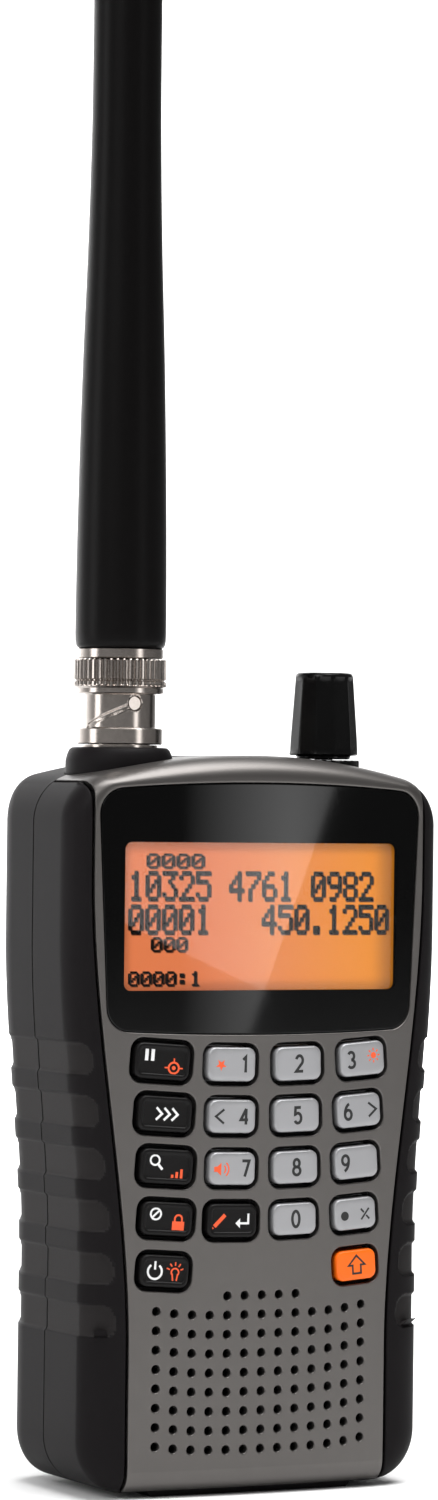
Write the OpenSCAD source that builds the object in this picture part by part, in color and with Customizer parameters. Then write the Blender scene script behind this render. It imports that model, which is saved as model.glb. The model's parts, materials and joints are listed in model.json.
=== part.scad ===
// Handheld radio scanner: two case halves, grey front panel, backlit display, 18 sprung keys,
// concentric volume and squelch controls, bayonet antenna, battery bay with a sliding door.
// The frame: origin under the middle of the base, +Z up, the keypad faces -Y, +X is the
// holder's right when the keypad faces the holder. Millimetres.

/* [Body] */
// Width across the display half
body_w = 65; // [64:0.1:66]
// Width across the grip half
waist_w = 59.1; // [59:0.1:61]
// Depth from the crown of the front panel to the rear face
body_d = 34.5; // [34:0.1:35]
// Height from the feet to the top of the arch
body_h = 115.2; // [115:0.1:116]
// Radius of the front panel's crown in plan
crown_r = 218; // [200:10:400]
// Height of the moulded feet
foot_h = 0.8; // [0.5:0.1:1]
// Wall thickness of the case halves
wall = 2.2; // [2:0.1:2.4]
// Thickness of the front panel at its centre
panel_t = 1.8; // [1.6:0.1:2]
// How sharply the top arches: it drops by x*x/arch_k
arch_k = 220; // [200:10:600]
// Gap between the front panel and the side grips
groove_w = 0.45; // [0.3:0.05:0.6]

/* [Display] */
// Half width of the display lens at its top
lens_hw = 27.9; // [27.5:0.1:28.5]
// Height of the lens's lower edge
lens_z0 = 71.7; // [71:0.1:72.5]
// Height of the lens's upper edge in the middle
lens_z1 = 110.8; // [110:0.1:111]
// Half width of the clear window
window_hw = 23.8; // [23:0.1:24.5]
// Height of the window's lower edge
window_z0 = 78.5; // [78:0.1:79]
// Height of the window's upper edge
window_z1 = 101.5; // [101:0.1:102]

/* [Keypad] */
// Width of a light key cap in the top row
key_w = 8.2; // [8:0.1:8.5]
// Height of a light key cap in the top row
key_h = 5.3; // [5.2:0.1:5.6]
// Distance between columns in the top row
key_px = 11.65; // [11.6:0.05:11.9]
// Distance between rows
key_pz = 8.09; // [8.08:0.02:8.3]
// Height of the top row in the middle
key_z = 67; // [66.8:0.1:67.1]
// Radius of the arc that each row of keys follows
smile_r = 240; // [220:5:300]
// How far a key stands out of the panel
key_up = 0.5; // [0.3:0.1:0.8]

/* [Speaker grille] */
// Distance between grille holes
hole_p = 2.986; // [2.9:0.01:3]
// Diameter of a grille hole
hole_d = 1.35; // [1.2:0.05:1.5]
// Height of the short top row
hole_z = 31.1; // [30.8:0.1:31.2]
// Rise of a row's ends
hole_rise = 0.93; // [0.5:0.05:1]

/* [Controls on top] */
// Antenna axis, sideways
ant_x = -18.4; // [-18.6:0.1:-17]
// Knob axis, sideways
knob_x = 17.8; // [17:0.1:18.5]
// Both axes, front to back
top_y = -1.8; // [-2.5:0.1:-1.5]
// Length of the antenna's rubber sleeve
rubber_l = 160; // [120:1:200]

/* [Hidden] */
$fn = 64;

// ---- Planes that the pieces share, all in Y unless named z ----
front_y = -body_d/2;
rear_y = body_d/2;
part_y = -0.6;              // where the case halves meet
key_wall_y = -12.9;         // inner face of the front case behind the keypad
speaker_wall_y = -11.2;     // inner face of the front case behind the grille
lens_back_y = -14.4;
flange_t = 0.8;             // key flange
mat_y = -10.9;
mat_t = 0.8;
board_y = -10;
board_t = 1.6;
base_z = foot_h;            // underside of the case
cavity_z0 = base_z + 2;
cavity_z1 = 110;
speaker_z = 19.9;
speaker_r = 15.2;

// ---- The outer form ----
function smooth(t) = let(c = min(max(t, 0), 1)) c*c*(3 - 2*c);
function edge_in(d, r) = d <= 0 ? 0 : r - sqrt(max(r*r - d*d, 0));

top_corner_r = 7.9;
base_corner_r = 8;
rear_r = 10;
corner_top_z = body_h - pow(body_w/2 - top_corner_r, 2)/arch_k;  // where the arch meets the corners

function side_x(z) = waist_w/2 + (body_w - waist_w)/2*smooth((z - 36.8)/50);
function groove_x(z) = 22.4 + 6.4*smooth((z - 22.8)/74);
function face_y(x) = front_y + x*x/(2*crown_r);
function outline_x(z) =
  z > corner_top_z ? sqrt(arch_k*(body_h - z))
  : side_x(z) - edge_in(z - (corner_top_z - top_corner_r), top_corner_r)
              - edge_in(base_z + base_corner_r - z, base_corner_r);
function front_in(z) = edge_in(z - (body_h - 5), 5) + edge_in(base_z + 3.5 - z, 3.5);
function rear_in(z) = edge_in(z - (body_h - 6), 6) + edge_in(base_z + 7 - z, 7);

// The right half of one level slice, front to rear.
function half_slice(z) =
  let(hw = outline_x(z), fy = front_y + front_in(z), ry = rear_y - rear_in(z),
      seam = min(groove_x(z), hw - 2.5), sag = seam*seam/(2*crown_r),
      cy = 4 + smooth((z - 22.8)/74), rr = min(rear_r, hw/2))
  concat(
    [for (i = [0.2:0.2:1]) [seam*i, fy + pow(seam*i, 2)/(2*crown_r)]],
    [for (a = [22.5:22.5:90]) [seam + (hw - seam)*sin(a), fy + sag + cy*(1 - cos(a))]],
    [for (a = [0:15:90]) [hw - rr + rr*cos(a), ry - rr + rr*sin(a)]]);
function mirrored(p) = [for (i = [len(p) - 1:-1:0]) [-p[i][0], p[i][1]]];
function ring(z) =
  let(h = half_slice(z)) [for (p = concat([[0, front_y + front_in(z)]], h, mirrored(h))) [p[0], p[1], z]];

SLICES = [base_z, base_z + 0.4, base_z + 1.2, base_z + 2.4, base_z + 4.2, base_z + 7, 14, 22,
          30, 36.8, 43, 49, 55.5, 61.8, 68, 74, 80, 87, 97, 104.5, 107, 109, 110.5, 111.5,
          corner_top_z, 113, 113.6, 114.2, body_h - 0.6, body_h - 0.25, body_h - 0.05];

module body_form() {
  m = len(ring(50));
  n = len(SLICES);
  pts = [for (z = SLICES) each ring(z)];
  sides = [for (k = [0:n - 2], i = [0:m - 1], s = [0, 1])
    let(a = k*m + i, b = k*m + (i + 1) % m)
    s == 0 ? [a, a + m, b + m] : [a, b + m, b]];
  caps = concat([for (i = [1:m - 2]) [0, i, i + 1]],
                [for (i = [1:m - 2]) [(n - 1)*m, (n - 1)*m + i + 1, (n - 1)*m + i]]);
  polyhedron(concat(pts), concat(sides, caps));
}

// ---- Shapes that repeat ----
// Extrudes an outline drawn in X and Z along +Y, from y0 to y1.
module along_y(y0, y1) {
  translate([0, y1, 0]) rotate([90, 0, 0]) linear_extrude(y1 - y0) children();
}
module rounded_rect(w, h, r) {
  square([w - 2*r, h], center = true);
  square([w, h - 2*r], center = true);
  for (x = [-1, 1], y = [-1, 1]) translate([x*(w/2 - r), y*(h/2 - r)]) circle(r);
}
module box(x0, x1, y0, y1, z0, z1) {
  translate([x0, y0, z0]) cube([x1 - x0, y1 - y0, z1 - z0]);
}
module rod_y(x, z, r, y0, y1) {
  translate([x, y1, z]) rotate([90, 0, 0]) cylinder(r = r, h = y1 - y0);
}
module rod_z(x, y, r, z0, z1) {
  translate([x, y, z0]) cylinder(r = r, h = z1 - z0);
}
module tube_z(x, y, ro, ri, z0, z1) {
  difference() {
    rod_z(x, y, ro, z0, z1);
    rod_z(x, y, ri, z0 - 1, z1 + 1);
  }
}
module turned(x, y, profile) {
  translate([x, y, 0]) rotate_extrude() polygon(profile);
}

// The front panel's outline, grown by g at its sides.
module panel_outline(g) {
  zs = [base_z - 1, 10, 20, 27, 33, 40, 47, 54, 61, 68, 75, 82, 90, 98, body_h + 1];
  pts = [for (z = zs) [groove_x(z) + g, z]];
  polygon(concat(pts, mirrored(pts)));
}
// The space under the panel: crowned and arched like it, one panel thickness in.
module panel_core() {
  ft = 5 - panel_t;
  side = concat(
    [[front_y + 20, body_h - panel_t]],
    [for (a = [90:-15:0]) [front_y + 5 - ft*sin(90 - a), body_h - 5 + ft*sin(a)]],
    [[front_y + panel_t, -1], [front_y + 20, -1]]);
  intersection() {
    rotate([90, 0, 90]) translate([0, 0, -40]) linear_extrude(80) polygon(side);
    translate([0, front_y + crown_r, -5]) cylinder(r = crown_r - panel_t, h = 140, $fn = 720);
    translate([0, 40, body_h - arch_k/2]) rotate([90, 0, 0])
      cylinder(r = arch_k/2 - panel_t, h = 80, $fn = 720);
  }
}

// ---- Keys ----
COLS = [-1.5, -0.5, 0.5, 1.5];
ROW_SPAN = [1, 0.97, 0.95, 0.942, 0.96];   // the columns draw in with the panel
ROW_SIZE = [1, 0.98, 0.965, 0.935, 0.89];  // and the caps get smaller
ROWS_IN = [5, 4, 4, 5];                    // keys in each column
key_gap = 0.7;                             // between a cap and the edge of its well
function key_x(col, row) = COLS[col]*key_px*ROW_SPAN[row];
function key_rise(x) = smile_r - sqrt(smile_r*smile_r - x*x);
function is_dark(col, row) = col == 0 || (col == 1 && row == 3);
// The dark caps are a little larger than the light ones.
function cap_size(col, row) = ROW_SIZE[row]*[key_w + (is_dark(col, row) ? 0.9 : 0),
                                             key_h + (is_dark(col, row) ? 0.3 : 0)];
// Puts its children at a key's place, upright in X and Z and tilted along the arc.
module at_key(col, row) {
  x = key_x(col, row);
  translate([x, 0, key_z - row*key_pz + key_rise(x)]) rotate([0, -asin(x/smile_r), 0]) children();
}
// Openings for all the caps, grown by g.
module key_wells(y0, y1, g) {
  for (c = [0:3], r = [0:ROWS_IN[c] - 1]) let(size = cap_size(c, r))
    at_key(c, r) along_y(y0, y1) rounded_rect(size[0] + 2*g, size[1] + 2*g, 1.3 + g);
}
module key(col, row, c) {
  size = cap_size(col, row);
  cap_y = face_y(key_x(col, row)) - key_up;
  flange_y = key_wall_y + 0.05;
  color(c) at_key(col, row) {
    along_y(cap_y, flange_y) rounded_rect(size[0], size[1], 1.3);
    along_y(flange_y, flange_y + flange_t) rounded_rect(10.4, 7.2, 1.6);
    along_y(flange_y + flange_t, mat_y - 0.05) rounded_rect(5, 3.4, 1);
  }
}
dark = "#2b2929";
silver = "#a8abad";
orange = "#f07a2a";

// ---- Case ----
module front_half_space() { box(-50, 50, -50, part_y, -5, 130); }

// The hollow that both halves share, clear of the rounded corners.
module cavity() {
  xs = [for (z = [cavity_z0 + 4, 36.8, 46, 56, 66, 76, 86.8, 104]) [side_x(z) - wall, z]];
  side = concat([[21, cavity_z0]], xs, [[24, cavity_z1]]);
  along_y(-9.5, 7.5) polygon(concat(side, mirrored(side)));
  box(-23.6, 23.6, key_wall_y, -9, 29.3, 75);
  box(-27.3, 27.3, key_wall_y, -9, 60, 105);
  box(-21, 21, speaker_wall_y, -9, 4.5, 30);
  box(-22, 22, 7, 15.2, 6, 108);
  box(-26, 26, 7, 11.5, 8, 106);
}

screw_at = [[-27, 107.2], [27, 107.2], [-23.5, 14], [23.5, 14]];
screw_head_y = 13.4;

module top_holes() {
  rod_z(ant_x, top_y, 8.55, 111.9, 120);
  rod_z(ant_x, top_y, 4.85, 105, 120);
  rod_z(knob_x, top_y, 6.15, 110.85, 120);
  rod_z(knob_x, top_y, 3.55, 105, 120);
}

module grip_bands() {
  band_z0 = 27.8;
  band_p = 8.05;
  for (i = [0:5], s = [-1, 1]) {
    z = band_z0 + 0.3 + i*band_p;
    x = side_x(z + (i > 2 ? 1 : 0)) - 0.4;
    translate([s > 0 ? x : -x - 3, -9, z - 2.4]) cube([3, 18, 4.8]);
  }
}

jack_y = -5.4;
jack_z = 96;
usb_y = -6.45;
usb_z = 80.2;

module front_case() color(dark) {
  difference() {
    union() {
      difference() {
        intersection() { body_form(); front_half_space(); }
        difference() {
          along_y(-40, part_y + 1) panel_outline(groove_w);
          panel_core();
        }
        cavity();
      }
      intersection() {
        for (p = screw_at) rod_y(p[0], p[1], 2.6, -11, part_y);
        along_y(-20, 0) panel_outline(7);
      }
    }
    for (p = screw_at) rod_y(p[0], p[1], 0.95, -8, 1);
    key_wells(-20, key_wall_y + 1, 0.25);
    along_y(-20, lens_back_y) lens_outline(0.1);
    box(-25.4, 25.4, -20, -10, window_z0 - 1.2, window_z1 + 1.2);
    box(-19.2, 19.2, -20, -10, 6, 29.2);
    box(-8, 8, -20, -10, 29, 32.8);
    top_holes();
    grip_bands();
    translate([20, jack_y, jack_z]) rotate([0, 90, 0]) cylinder(r = 3.05, h = 20);
    box(25, 40, usb_y - 2.1, usb_y + 2.1, usb_z - 3.9, usb_z + 3.9);
  }
  foot(-13.6, part_y);
}

// A low moulded foot with sloping ends.
module foot(y0, y1) {
  along_y(y0, y1) polygon([[-17.2, 0], [17.2, 0], [18.2, foot_h + 0.3], [-18.2, foot_h + 0.3]]);
}

bay_hw = 15.8;
bay_z0 = 5.2;
bay_z1 = 61;
door_hw = 18;
door_y = 15.75;
door_z0 = 5.2;
door_z1 = 67;
insert_x = 9;
insert_z = 92;

module rear_case() color(dark) {
  difference() {
    union() {
      difference() {
        body_form();
        front_half_space();
        cavity();
      }
      box(-bay_hw - 1.2, bay_hw + 1.2, 0, 15.5, bay_z0 - 1.2, bay_z1 + 1.2);
      for (p = screw_at) rod_y(p[0], p[1], 2.8, part_y, 14.4);
      for (s = [-1, 1]) rod_y(s*insert_x, insert_z, 3.6, 11, 16);
    }
    box(-bay_hw, bay_hw, 1.2, 20, bay_z0, bay_z1);
    box(-door_hw - 0.25, door_hw + 0.25, door_y - 0.1, 20, -1, door_z1 + 0.25);
    box(-door_hw - 1.2, door_hw + 1.2, door_y - 0.1, 16.7, -1, 65.5);
    for (p = screw_at) {
      rod_y(p[0], p[1], 1.15, -2, 20);
      rod_y(p[0], p[1], 2.3, screw_head_y, 20);
    }
    for (s = [-1, 1]) rod_y(s*insert_x, insert_z, 2.3, 12.2, 20);
    box(-2.8, 2.8, -1, 2, 32.9, 35.1);
    top_holes();
    grip_bands();
  }
  foot(part_y, 9.5);
}

module front_panel() color("#6f6c6a") difference() {
  intersection() {
    body_form();
    along_y(-40, part_y - 0.1) panel_outline(0);
  }
  panel_core();
  along_y(-40, 0) lens_outline(0.1);
  key_wells(-40, 0, key_gap);
  grille_holes();
  top_holes();
}

module grille_holes() {
  for (row = [0:8], i = [-6:6]) if (row > 0 || abs(i) <= 2) {
    x = i*hole_p;
    rod_y(x, hole_z - row*hole_p + hole_rise*pow(abs(x)/18, 3.5), hole_d/2, -25, -5);
  }
}

// ---- Display ----
// The lens's outline, grown by g: a smiling lower edge, an arched upper edge, round corners.
module lens_outline(g) {
  low_r = 3.8;
  high_r = 4;
  high_k = 600;  // the upper edge drops by x*x/high_k
  low_x = lens_hw - 1.4 - low_r;
  high_x = lens_hw - high_r;
  low_c = [low_x, lens_z0 + 0.00096*low_x*low_x + low_r];
  high_c = [high_x, lens_z1 - high_x*high_x/high_k - high_r];
  half = concat(
    [for (x = [4:4:20]) [x, lens_z0 - g + 0.00096*x*x]],
    [for (a = [-75:15:0]) low_c + (low_r + g)*[cos(a), sin(a)]],
    [for (a = [0:15:75]) high_c + (high_r + g)*[cos(a), sin(a)]],
    [for (x = [20:-4:4]) [x, lens_z1 + g - x*x/high_k]]);
  polygon(concat([[0, lens_z0 - g]], half, [[0, lens_z1 + g]], mirrored(half)));
}
module display_lens() color("#101012") intersection() {
  along_y(-20, lens_back_y) lens_outline(0);
  translate([0, front_y + crown_r, 60]) cylinder(r = crown_r - 0.2, h = 60, $fn = 720);
}
module lcd_glass() color("#e88a3a")
  box(-25, 25, lens_back_y + 0.1, -11.9, window_z0 - 0.9, window_z1 + 0.9);
module lcd_backlight() color("#f4f0e4")
  box(-25, 25, -11.85, -10.6, window_z0 - 0.9, window_z1 + 0.9);
module lcd_holder() color("#e8e8e6") difference() {
  box(-26.5, 26.5, key_wall_y + 0.05, board_y - 0.05, window_z0 - 2.6, window_z1 + 2.6);
  box(-25.05, 25.05, -20, -10.5, window_z0 - 0.95, window_z1 + 0.95);
}

// ---- Keys, column by column ----
module key_hold() key(0, 0, dark);
module key_scan() key(0, 1, dark);
module key_search() key(0, 2, dark);
module key_lockout() key(0, 3, dark);
module key_power() key(0, 4, dark);
module key_1() key(1, 0, silver);
module key_4() key(1, 1, silver);
module key_7() key(1, 2, silver);
module key_program() key(1, 3, dark);
module key_2() key(2, 0, silver);
module key_5() key(2, 1, silver);
module key_8() key(2, 2, silver);
module key_0() key(2, 3, silver);
module key_3() key(3, 0, silver);
module key_6() key(3, 1, silver);
module key_9() key(3, 2, silver);
module key_clear() key(3, 3, silver);
module key_function() key(3, 4, orange);

module keypad_mat() color("#3a3a3c") difference() {
  box(-23.4, 23.4, mat_y, mat_y + mat_t, 30, 71.5);
  for (c = [0:3], r = [0:ROWS_IN[c] - 1]) at_key(c, r) along_y(-12, -9) rounded_rect(5.8, 4.2, 1.2);
  rod_y(0, speaker_z, speaker_r + 0.8, -12, -9);
}

// ---- Electronics ----
module main_board() color("#1f6b3a") difference() {
  along_y(board_y, board_y + board_t)
    polygon([[-23.3, 29.5], [23.3, 29.5], [23.3, 60.3], [27, 60.3], [27, 103.8], [-27, 103.8],
             [-27, 60.3], [-23.3, 60.3]]);
  rod_y(0, speaker_z, speaker_r + 0.8, -12, -5);
}
chip_y = board_y + board_t;
module board_chips() color("#1c1c1e") {
  box(-6, 6, chip_y, chip_y + 1.6, 62, 74);
  box(10, 18, chip_y, chip_y + 1.4, 62, 70);
  box(-4, 2, chip_y, chip_y + 1.4, 48, 53);
  box(8, 18, chip_y, chip_y + 1.4, 44, 50);
  box(10, 15, chip_y, chip_y + 2.2, 36, 39);
}
module rf_shield() color("#b8bcc0") difference() {
  box(-24, -9, chip_y, chip_y + 3.4, 60, 99);
  box(-23.7, -9.3, chip_y - 1, chip_y + 3.1, 60.3, 98.7);
}
module speaker_frame() color("#5a5c60") translate([0, 0, speaker_z]) rotate([-90, 0, 0])
  rotate_extrude() polygon([[13.2, -11.1], [speaker_r, -11.1], [speaker_r, -10.3], [13.9, -10.1],
                            [8.8, -7.5], [3, -7.5], [3, -8], [8.5, -8], [13.2, -10.4]]);
module speaker_magnet() color("#8f9296") rod_y(0, speaker_z, 8, -7.45, -4.4);
module speaker_cone() color("#242424")
  translate([0, -10.8, speaker_z]) rotate([-90, 0, 0]) difference() {
    cylinder(r1 = 13.1, r2 = 5, h = 2.4);
    translate([0, 0, -0.5]) cylinder(r1 = 12.8, r2 = 4.6, h = 2.4);
  }
module speaker_cloth() color("#151515") box(-19, 19, -12.6, -12.4, 7.2, 29);

// ---- Volume and squelch ----
module volume_knob() color("#161617") difference() {
  union() {
    rod_z(knob_x, top_y, 4.3, 114.8, 115.45);
    turned(knob_x, top_y, [[0, 115.35], [5.5, 115.35], [5.3, 117.85], [4.45, 128], [3.85, 128.6], [0, 128.6]]);
  }
  rod_z(knob_x, top_y, 1.5, 110, 125.8);
  for (a = [0:30:330]) translate([knob_x, top_y, 0]) rotate([0, 0, a + 15])
    translate([8.4, 0, 113.85]) rotate([0, -4.5, 0]) cylinder(r = 3.2, h = 18);
}
module volume_shaft() color("#c4c6c8") rod_z(knob_x, top_y, 1.5, 104.35, 125.8);
module squelch_ring() color("#1c1c1d") difference() {
  rod_z(knob_x, top_y, 5.8, 112.6, 114.65);
  rod_z(knob_x, top_y, 3, 110, 120);
  for (a = [0:15:345]) translate([knob_x, top_y, 0]) rotate([0, 0, a])
    translate([6.1, 0, 112]) cylinder(r = 0.5, h = 4);
}
module squelch_sleeve() color("#b0b2b5") tube_z(knob_x, top_y, 3, 1.55, 106.85, 114.45);
module control_body() color("#3c4a3e") difference() {
  union() {
    box(knob_x - 5, knob_x + 5, top_y - 5.4, top_y + 5.4, 102.75, 109.65);
    rod_z(knob_x, top_y, 3.5, 109, 112.45);
  }
  rod_z(knob_x, top_y, 3.05, 106.65, 120);
  rod_z(knob_x, top_y, 1.55, 104.15, 120);
}
module control_nut() color("#c9a85a") difference() {
  translate([knob_x, top_y, 110.9]) cylinder(r = 5.2, h = 1.5, $fn = 6);
  rod_z(knob_x, top_y, 3.5, 109, 120);
}

// ---- Antenna socket on the case ----
stud_z = 123.05;
boss_z = 116.15;
module antenna_boss() color("#232324") difference() {
  turned(ant_x, top_y, [[0, 111.95], [8.5, 111.95], [8.4, 114.15], [7.9, 115.75], [7.5, boss_z], [0, boss_z]]);
  rod_z(ant_x, top_y, 4.8, 110, 120);
}
module antenna_socket() color("#c8c6c4") difference() {
  union() {
    rod_z(ant_x, top_y, 4.8, 105.65, 125.65);
    rod_z(ant_x, top_y, 6, boss_z, boss_z + 0.4);
    rod_y(ant_x, stud_z, 1, top_y - 5.35, top_y + 5.35);
  }
  rod_z(ant_x, top_y, 4.15, 107.15, 130);
  rod_z(ant_x, top_y, 1, 100, 110);
}
module socket_nut() color("#c9a85a") difference() {
  translate([ant_x, top_y, 107.9]) rotate([0, 0, 30]) cylinder(r = 6, h = 2, $fn = 6);
  rod_z(ant_x, top_y, 4.8, 100, 120);
}
module socket_insulator() color("#f2f2ee") difference() {
  union() {
    rod_z(ant_x, top_y, 4.15, 107.15, 117.65);
    rod_z(ant_x, top_y, 2.2, 117, 124.15);
  }
  rod_z(ant_x, top_y, 0.95, 100, 130);
}
module socket_contact() color("#d8b860") difference() {
  rod_z(ant_x, top_y, 0.95, 104.15, 123.95);
  rod_z(ant_x, top_y, 0.7, 117.15, 130);
}

// ---- Antenna ----
rubber_z = 131.65;
module plug_body() color("#c8c6c4") difference() {
  union() {
    rod_z(ant_x, top_y, 4.08, 118.35, 127.15);
    rod_z(ant_x, top_y, 4.7, 126.05, 127.15);
    rod_z(ant_x, top_y, 4.35, 126.15, 130.15);
    rod_z(ant_x, top_y, 6.7, 130.1, rubber_z);
  }
  rod_z(ant_x, top_y, 3.5, 110, 130.35);
}
module plug_insulator() color("#f2f2ee") tube_z(ant_x, top_y, 3.5, 0.62, 124.55, 130.35);
module plug_pin() color("#d8b860") rod_z(ant_x, top_y, 0.62, 118.75, 130.35);
module coupling_ring() color("#c2c0be") difference() {
  union() {
    turned(ant_x, top_y, [[4.95, 116.65], [6.55, 116.65], [6.75, 116.85], [6.75, 118.95], [6.55, 119.15],
                          [5.6, 119.15], [5.6, 124.55], [6.6, 124.55], [6.8, 124.75], [6.8, 125.45],
                          [7.05, 125.45], [7.25, 125.65], [7.25, 129.75], [7.05, 129.95], [4.95, 129.95]]);
    tube_z(ant_x, top_y, 5.2, 4.45, 127.35, 129.95);
  }
  for (a = [0:7.5:352.5]) translate([ant_x, top_y, 0]) rotate([0, 0, a])
    translate([7.5, 0, 125.75]) cylinder(r = 0.42, h = 6);
  difference() {
    rod_z(ant_x, top_y, 5.45, stud_z - 1.3, stud_z + 1.3);
    rod_z(ant_x, top_y, 4.9, 100, 140);
  }
  rod_y(ant_x, stud_z, 1.15, top_y - 9, top_y + 9);
}
module antenna_sleeve() color("#1b1a1a") difference() {
  turned(ant_x, top_y, [[0, rubber_z], [6.45, rubber_z], [6.95, rubber_z + 0.5], [7.15, rubber_z + 1.6],
    [7.15, rubber_z + 6], [7, rubber_z + 19.6], [6.75, rubber_z + 33.4], [6.4, rubber_z + 47.2],
    [5.9, rubber_z + 61], [5.6, rubber_z + 72.8], [5.4, rubber_z + 84.5],
    [5.3, rubber_z + rubber_l - 3], [4.7, rubber_z + rubber_l - 0.8], [3.6, rubber_z + rubber_l],
    [0, rubber_z + rubber_l]]);
  rod_z(ant_x, top_y, 1.9, rubber_z - 1, rubber_z + rubber_l - 7);
}
module antenna_whip() color("#b7794a") rod_z(ant_x, top_y, 1.9, rubber_z, rubber_z + rubber_l - 7);

// ---- Sockets in the right side ----
module headphone_jack() color("#1d1d1f") difference() {
  union() {
    box(19, 29.8, chip_y + 0.05, jack_y + 2.9, jack_z - 3, jack_z + 3);
    translate([29, jack_y, jack_z]) rotate([0, 90, 0]) cylinder(r = 2.85, h = side_x(jack_z) - 29);
  }
  translate([20.2, jack_y, jack_z]) rotate([0, 90, 0]) cylinder(r = 1.8, h = 20);
}
module usb_socket() color("#b8bcc0") difference() {
  box(24.6, 32, usb_y - 1.9, usb_y + 1.9, usb_z - 3.7, usb_z + 3.7);
  box(25.4, 40, usb_y - 1.55, usb_y + 1.55, usb_z - 3.45, usb_z + 3.45);
}

// ---- Battery bay ----
cell_x = 7.7;
cell_y = 8.45;
cell_r = 7.2;
cell_l = 49.5;
plate_t = 0.65;
module battery_door() color("#2b2a2a") {
  rotate([90, 0, 90]) translate([0, 0, -door_hw]) linear_extrude(2*door_hw)
    polygon([[door_y, door_z0], [16.6, door_z0], [rear_y, 8], [rear_y, door_z1], [door_y, door_z1]]);
  for (s = [-1, 1]) box(s*18.4 - 0.6, s*18.4 + 0.6, 15.9, 16.5, 9, 64);
}
module battery_cells() color("#c9c4b8") for (s = [-1, 1]) {
  cell_z0 = s < 0 ? 9.85 : 6.9;
  button_z0 = s < 0 ? cell_z0 + cell_l : cell_z0 - 1;
  rod_z(s*cell_x, cell_y, cell_r, cell_z0, cell_z0 + cell_l);
  rod_z(s*cell_x, cell_y, 2.7, button_z0, button_z0 + 1);
}
module battery_springs() color("#c8cacc") for (s = [-1, 1])
  translate([s*cell_x, cell_y, s < 0 ? bay_z0 + plate_t + 0.05 : bay_z1 - plate_t - 0.05])
    mirror([0, 0, s < 0 ? 0 : 1])
    for (i = [0:4]) translate([0, 0, 0.5 + i*0.72])
      rotate_extrude() translate([5 - i*0.6, 0]) circle(0.5);
module battery_plates() color("#c8cacc") {
  for (z = [bay_z0, bay_z1 - plate_t])
    box(-bay_hw + 0.4, bay_hw - 0.4, 2.4, 14.6, z, z + plate_t);
}
module battery_switch() color("#e4e4e0") {
  box(-2.6, -0.2, -0.2, 1.3, 33.1, 34.9);
  box(-2.6, -0.2, 1.3, 2.3, 32.7, 35.3);
  box(-3.2, 0.4, -0.55, -0.15, 32.4, 35.6);
}

// ---- Fasteners ----
module clip_inserts() color("#d0a95c") for (s = [-1, 1]) difference() {
  rod_y(s*insert_x, insert_z, 2.3, 12.2, 17.1);
  rod_y(s*insert_x, insert_z, 1.25, 10, 20);
}
module case_screws() color("#9a9da0") for (p = screw_at) difference() {
  union() {
    rod_y(p[0], p[1], 0.95, -7.5, screw_head_y + 0.5);
    rod_y(p[0], p[1], 1.9, screw_head_y, screw_head_y + 1.3);
  }
  box(p[0] - 0.25, p[0] + 0.25, screw_head_y + 0.6, 20, p[1] - 1.2, p[1] + 1.2);
  box(p[0] - 1.2, p[0] + 1.2, screw_head_y + 0.6, 20, p[1] - 0.25, p[1] + 0.25);
}

front_case();
rear_case();
front_panel();
display_lens();
lcd_glass();
lcd_backlight();
lcd_holder();
key_hold();
key_scan();
key_search();
key_lockout();
key_power();
key_1();
key_4();
key_7();
key_program();
key_2();
key_5();
key_8();
key_0();
key_3();
key_6();
key_9();
key_clear();
key_function();
keypad_mat();
main_board();
board_chips();
rf_shield();
speaker_frame();
speaker_magnet();
speaker_cone();
speaker_cloth();
volume_knob();
volume_shaft();
squelch_ring();
squelch_sleeve();
control_body();
control_nut();
antenna_boss();
antenna_socket();
socket_nut();
socket_insulator();
socket_contact();
plug_body();
plug_insulator();
plug_pin();
coupling_ring();
antenna_sleeve();
antenna_whip();
headphone_jack();
usb_socket();
battery_door();
battery_cells();
battery_springs();
battery_plates();
battery_switch();
clip_inserts();
case_screws();
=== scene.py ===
"""Looks for the handheld radio scanner: smooth shells, printed keys, backlit display, metal antenna plug.

Lengths are millimetres in the CAD frame, and become metres when an object is made.
"""
import json
import math

import bmesh
import bpy
import numpy as np
from mathutils import Matrix, Vector
from mathutils.geometry import delaunay_2d_cdt

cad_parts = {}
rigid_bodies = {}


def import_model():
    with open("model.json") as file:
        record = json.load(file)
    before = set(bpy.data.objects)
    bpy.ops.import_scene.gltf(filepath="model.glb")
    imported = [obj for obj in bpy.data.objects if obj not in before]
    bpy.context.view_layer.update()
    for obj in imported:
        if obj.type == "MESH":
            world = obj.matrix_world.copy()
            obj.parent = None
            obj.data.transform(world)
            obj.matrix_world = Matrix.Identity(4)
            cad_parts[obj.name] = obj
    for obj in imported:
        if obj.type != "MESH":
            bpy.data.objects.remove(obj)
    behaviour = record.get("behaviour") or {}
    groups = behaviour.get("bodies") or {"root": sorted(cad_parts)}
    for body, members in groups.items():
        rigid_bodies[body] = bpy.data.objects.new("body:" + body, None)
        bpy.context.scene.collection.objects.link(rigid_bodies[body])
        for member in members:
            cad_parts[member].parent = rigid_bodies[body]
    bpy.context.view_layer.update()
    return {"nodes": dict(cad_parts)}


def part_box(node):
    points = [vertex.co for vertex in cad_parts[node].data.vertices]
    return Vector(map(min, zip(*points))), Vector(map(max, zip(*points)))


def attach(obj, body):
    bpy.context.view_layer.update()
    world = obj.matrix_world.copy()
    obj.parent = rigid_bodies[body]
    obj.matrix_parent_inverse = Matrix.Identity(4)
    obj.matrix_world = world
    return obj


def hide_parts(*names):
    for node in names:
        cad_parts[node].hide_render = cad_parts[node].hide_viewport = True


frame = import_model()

MM = 0.001
NODES = frame["nodes"]


def cad(node):
    """A CAD node's lowest and highest corners in millimetres."""
    low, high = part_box(node)
    return np.array(low) / MM, np.array(high) / MM


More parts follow.
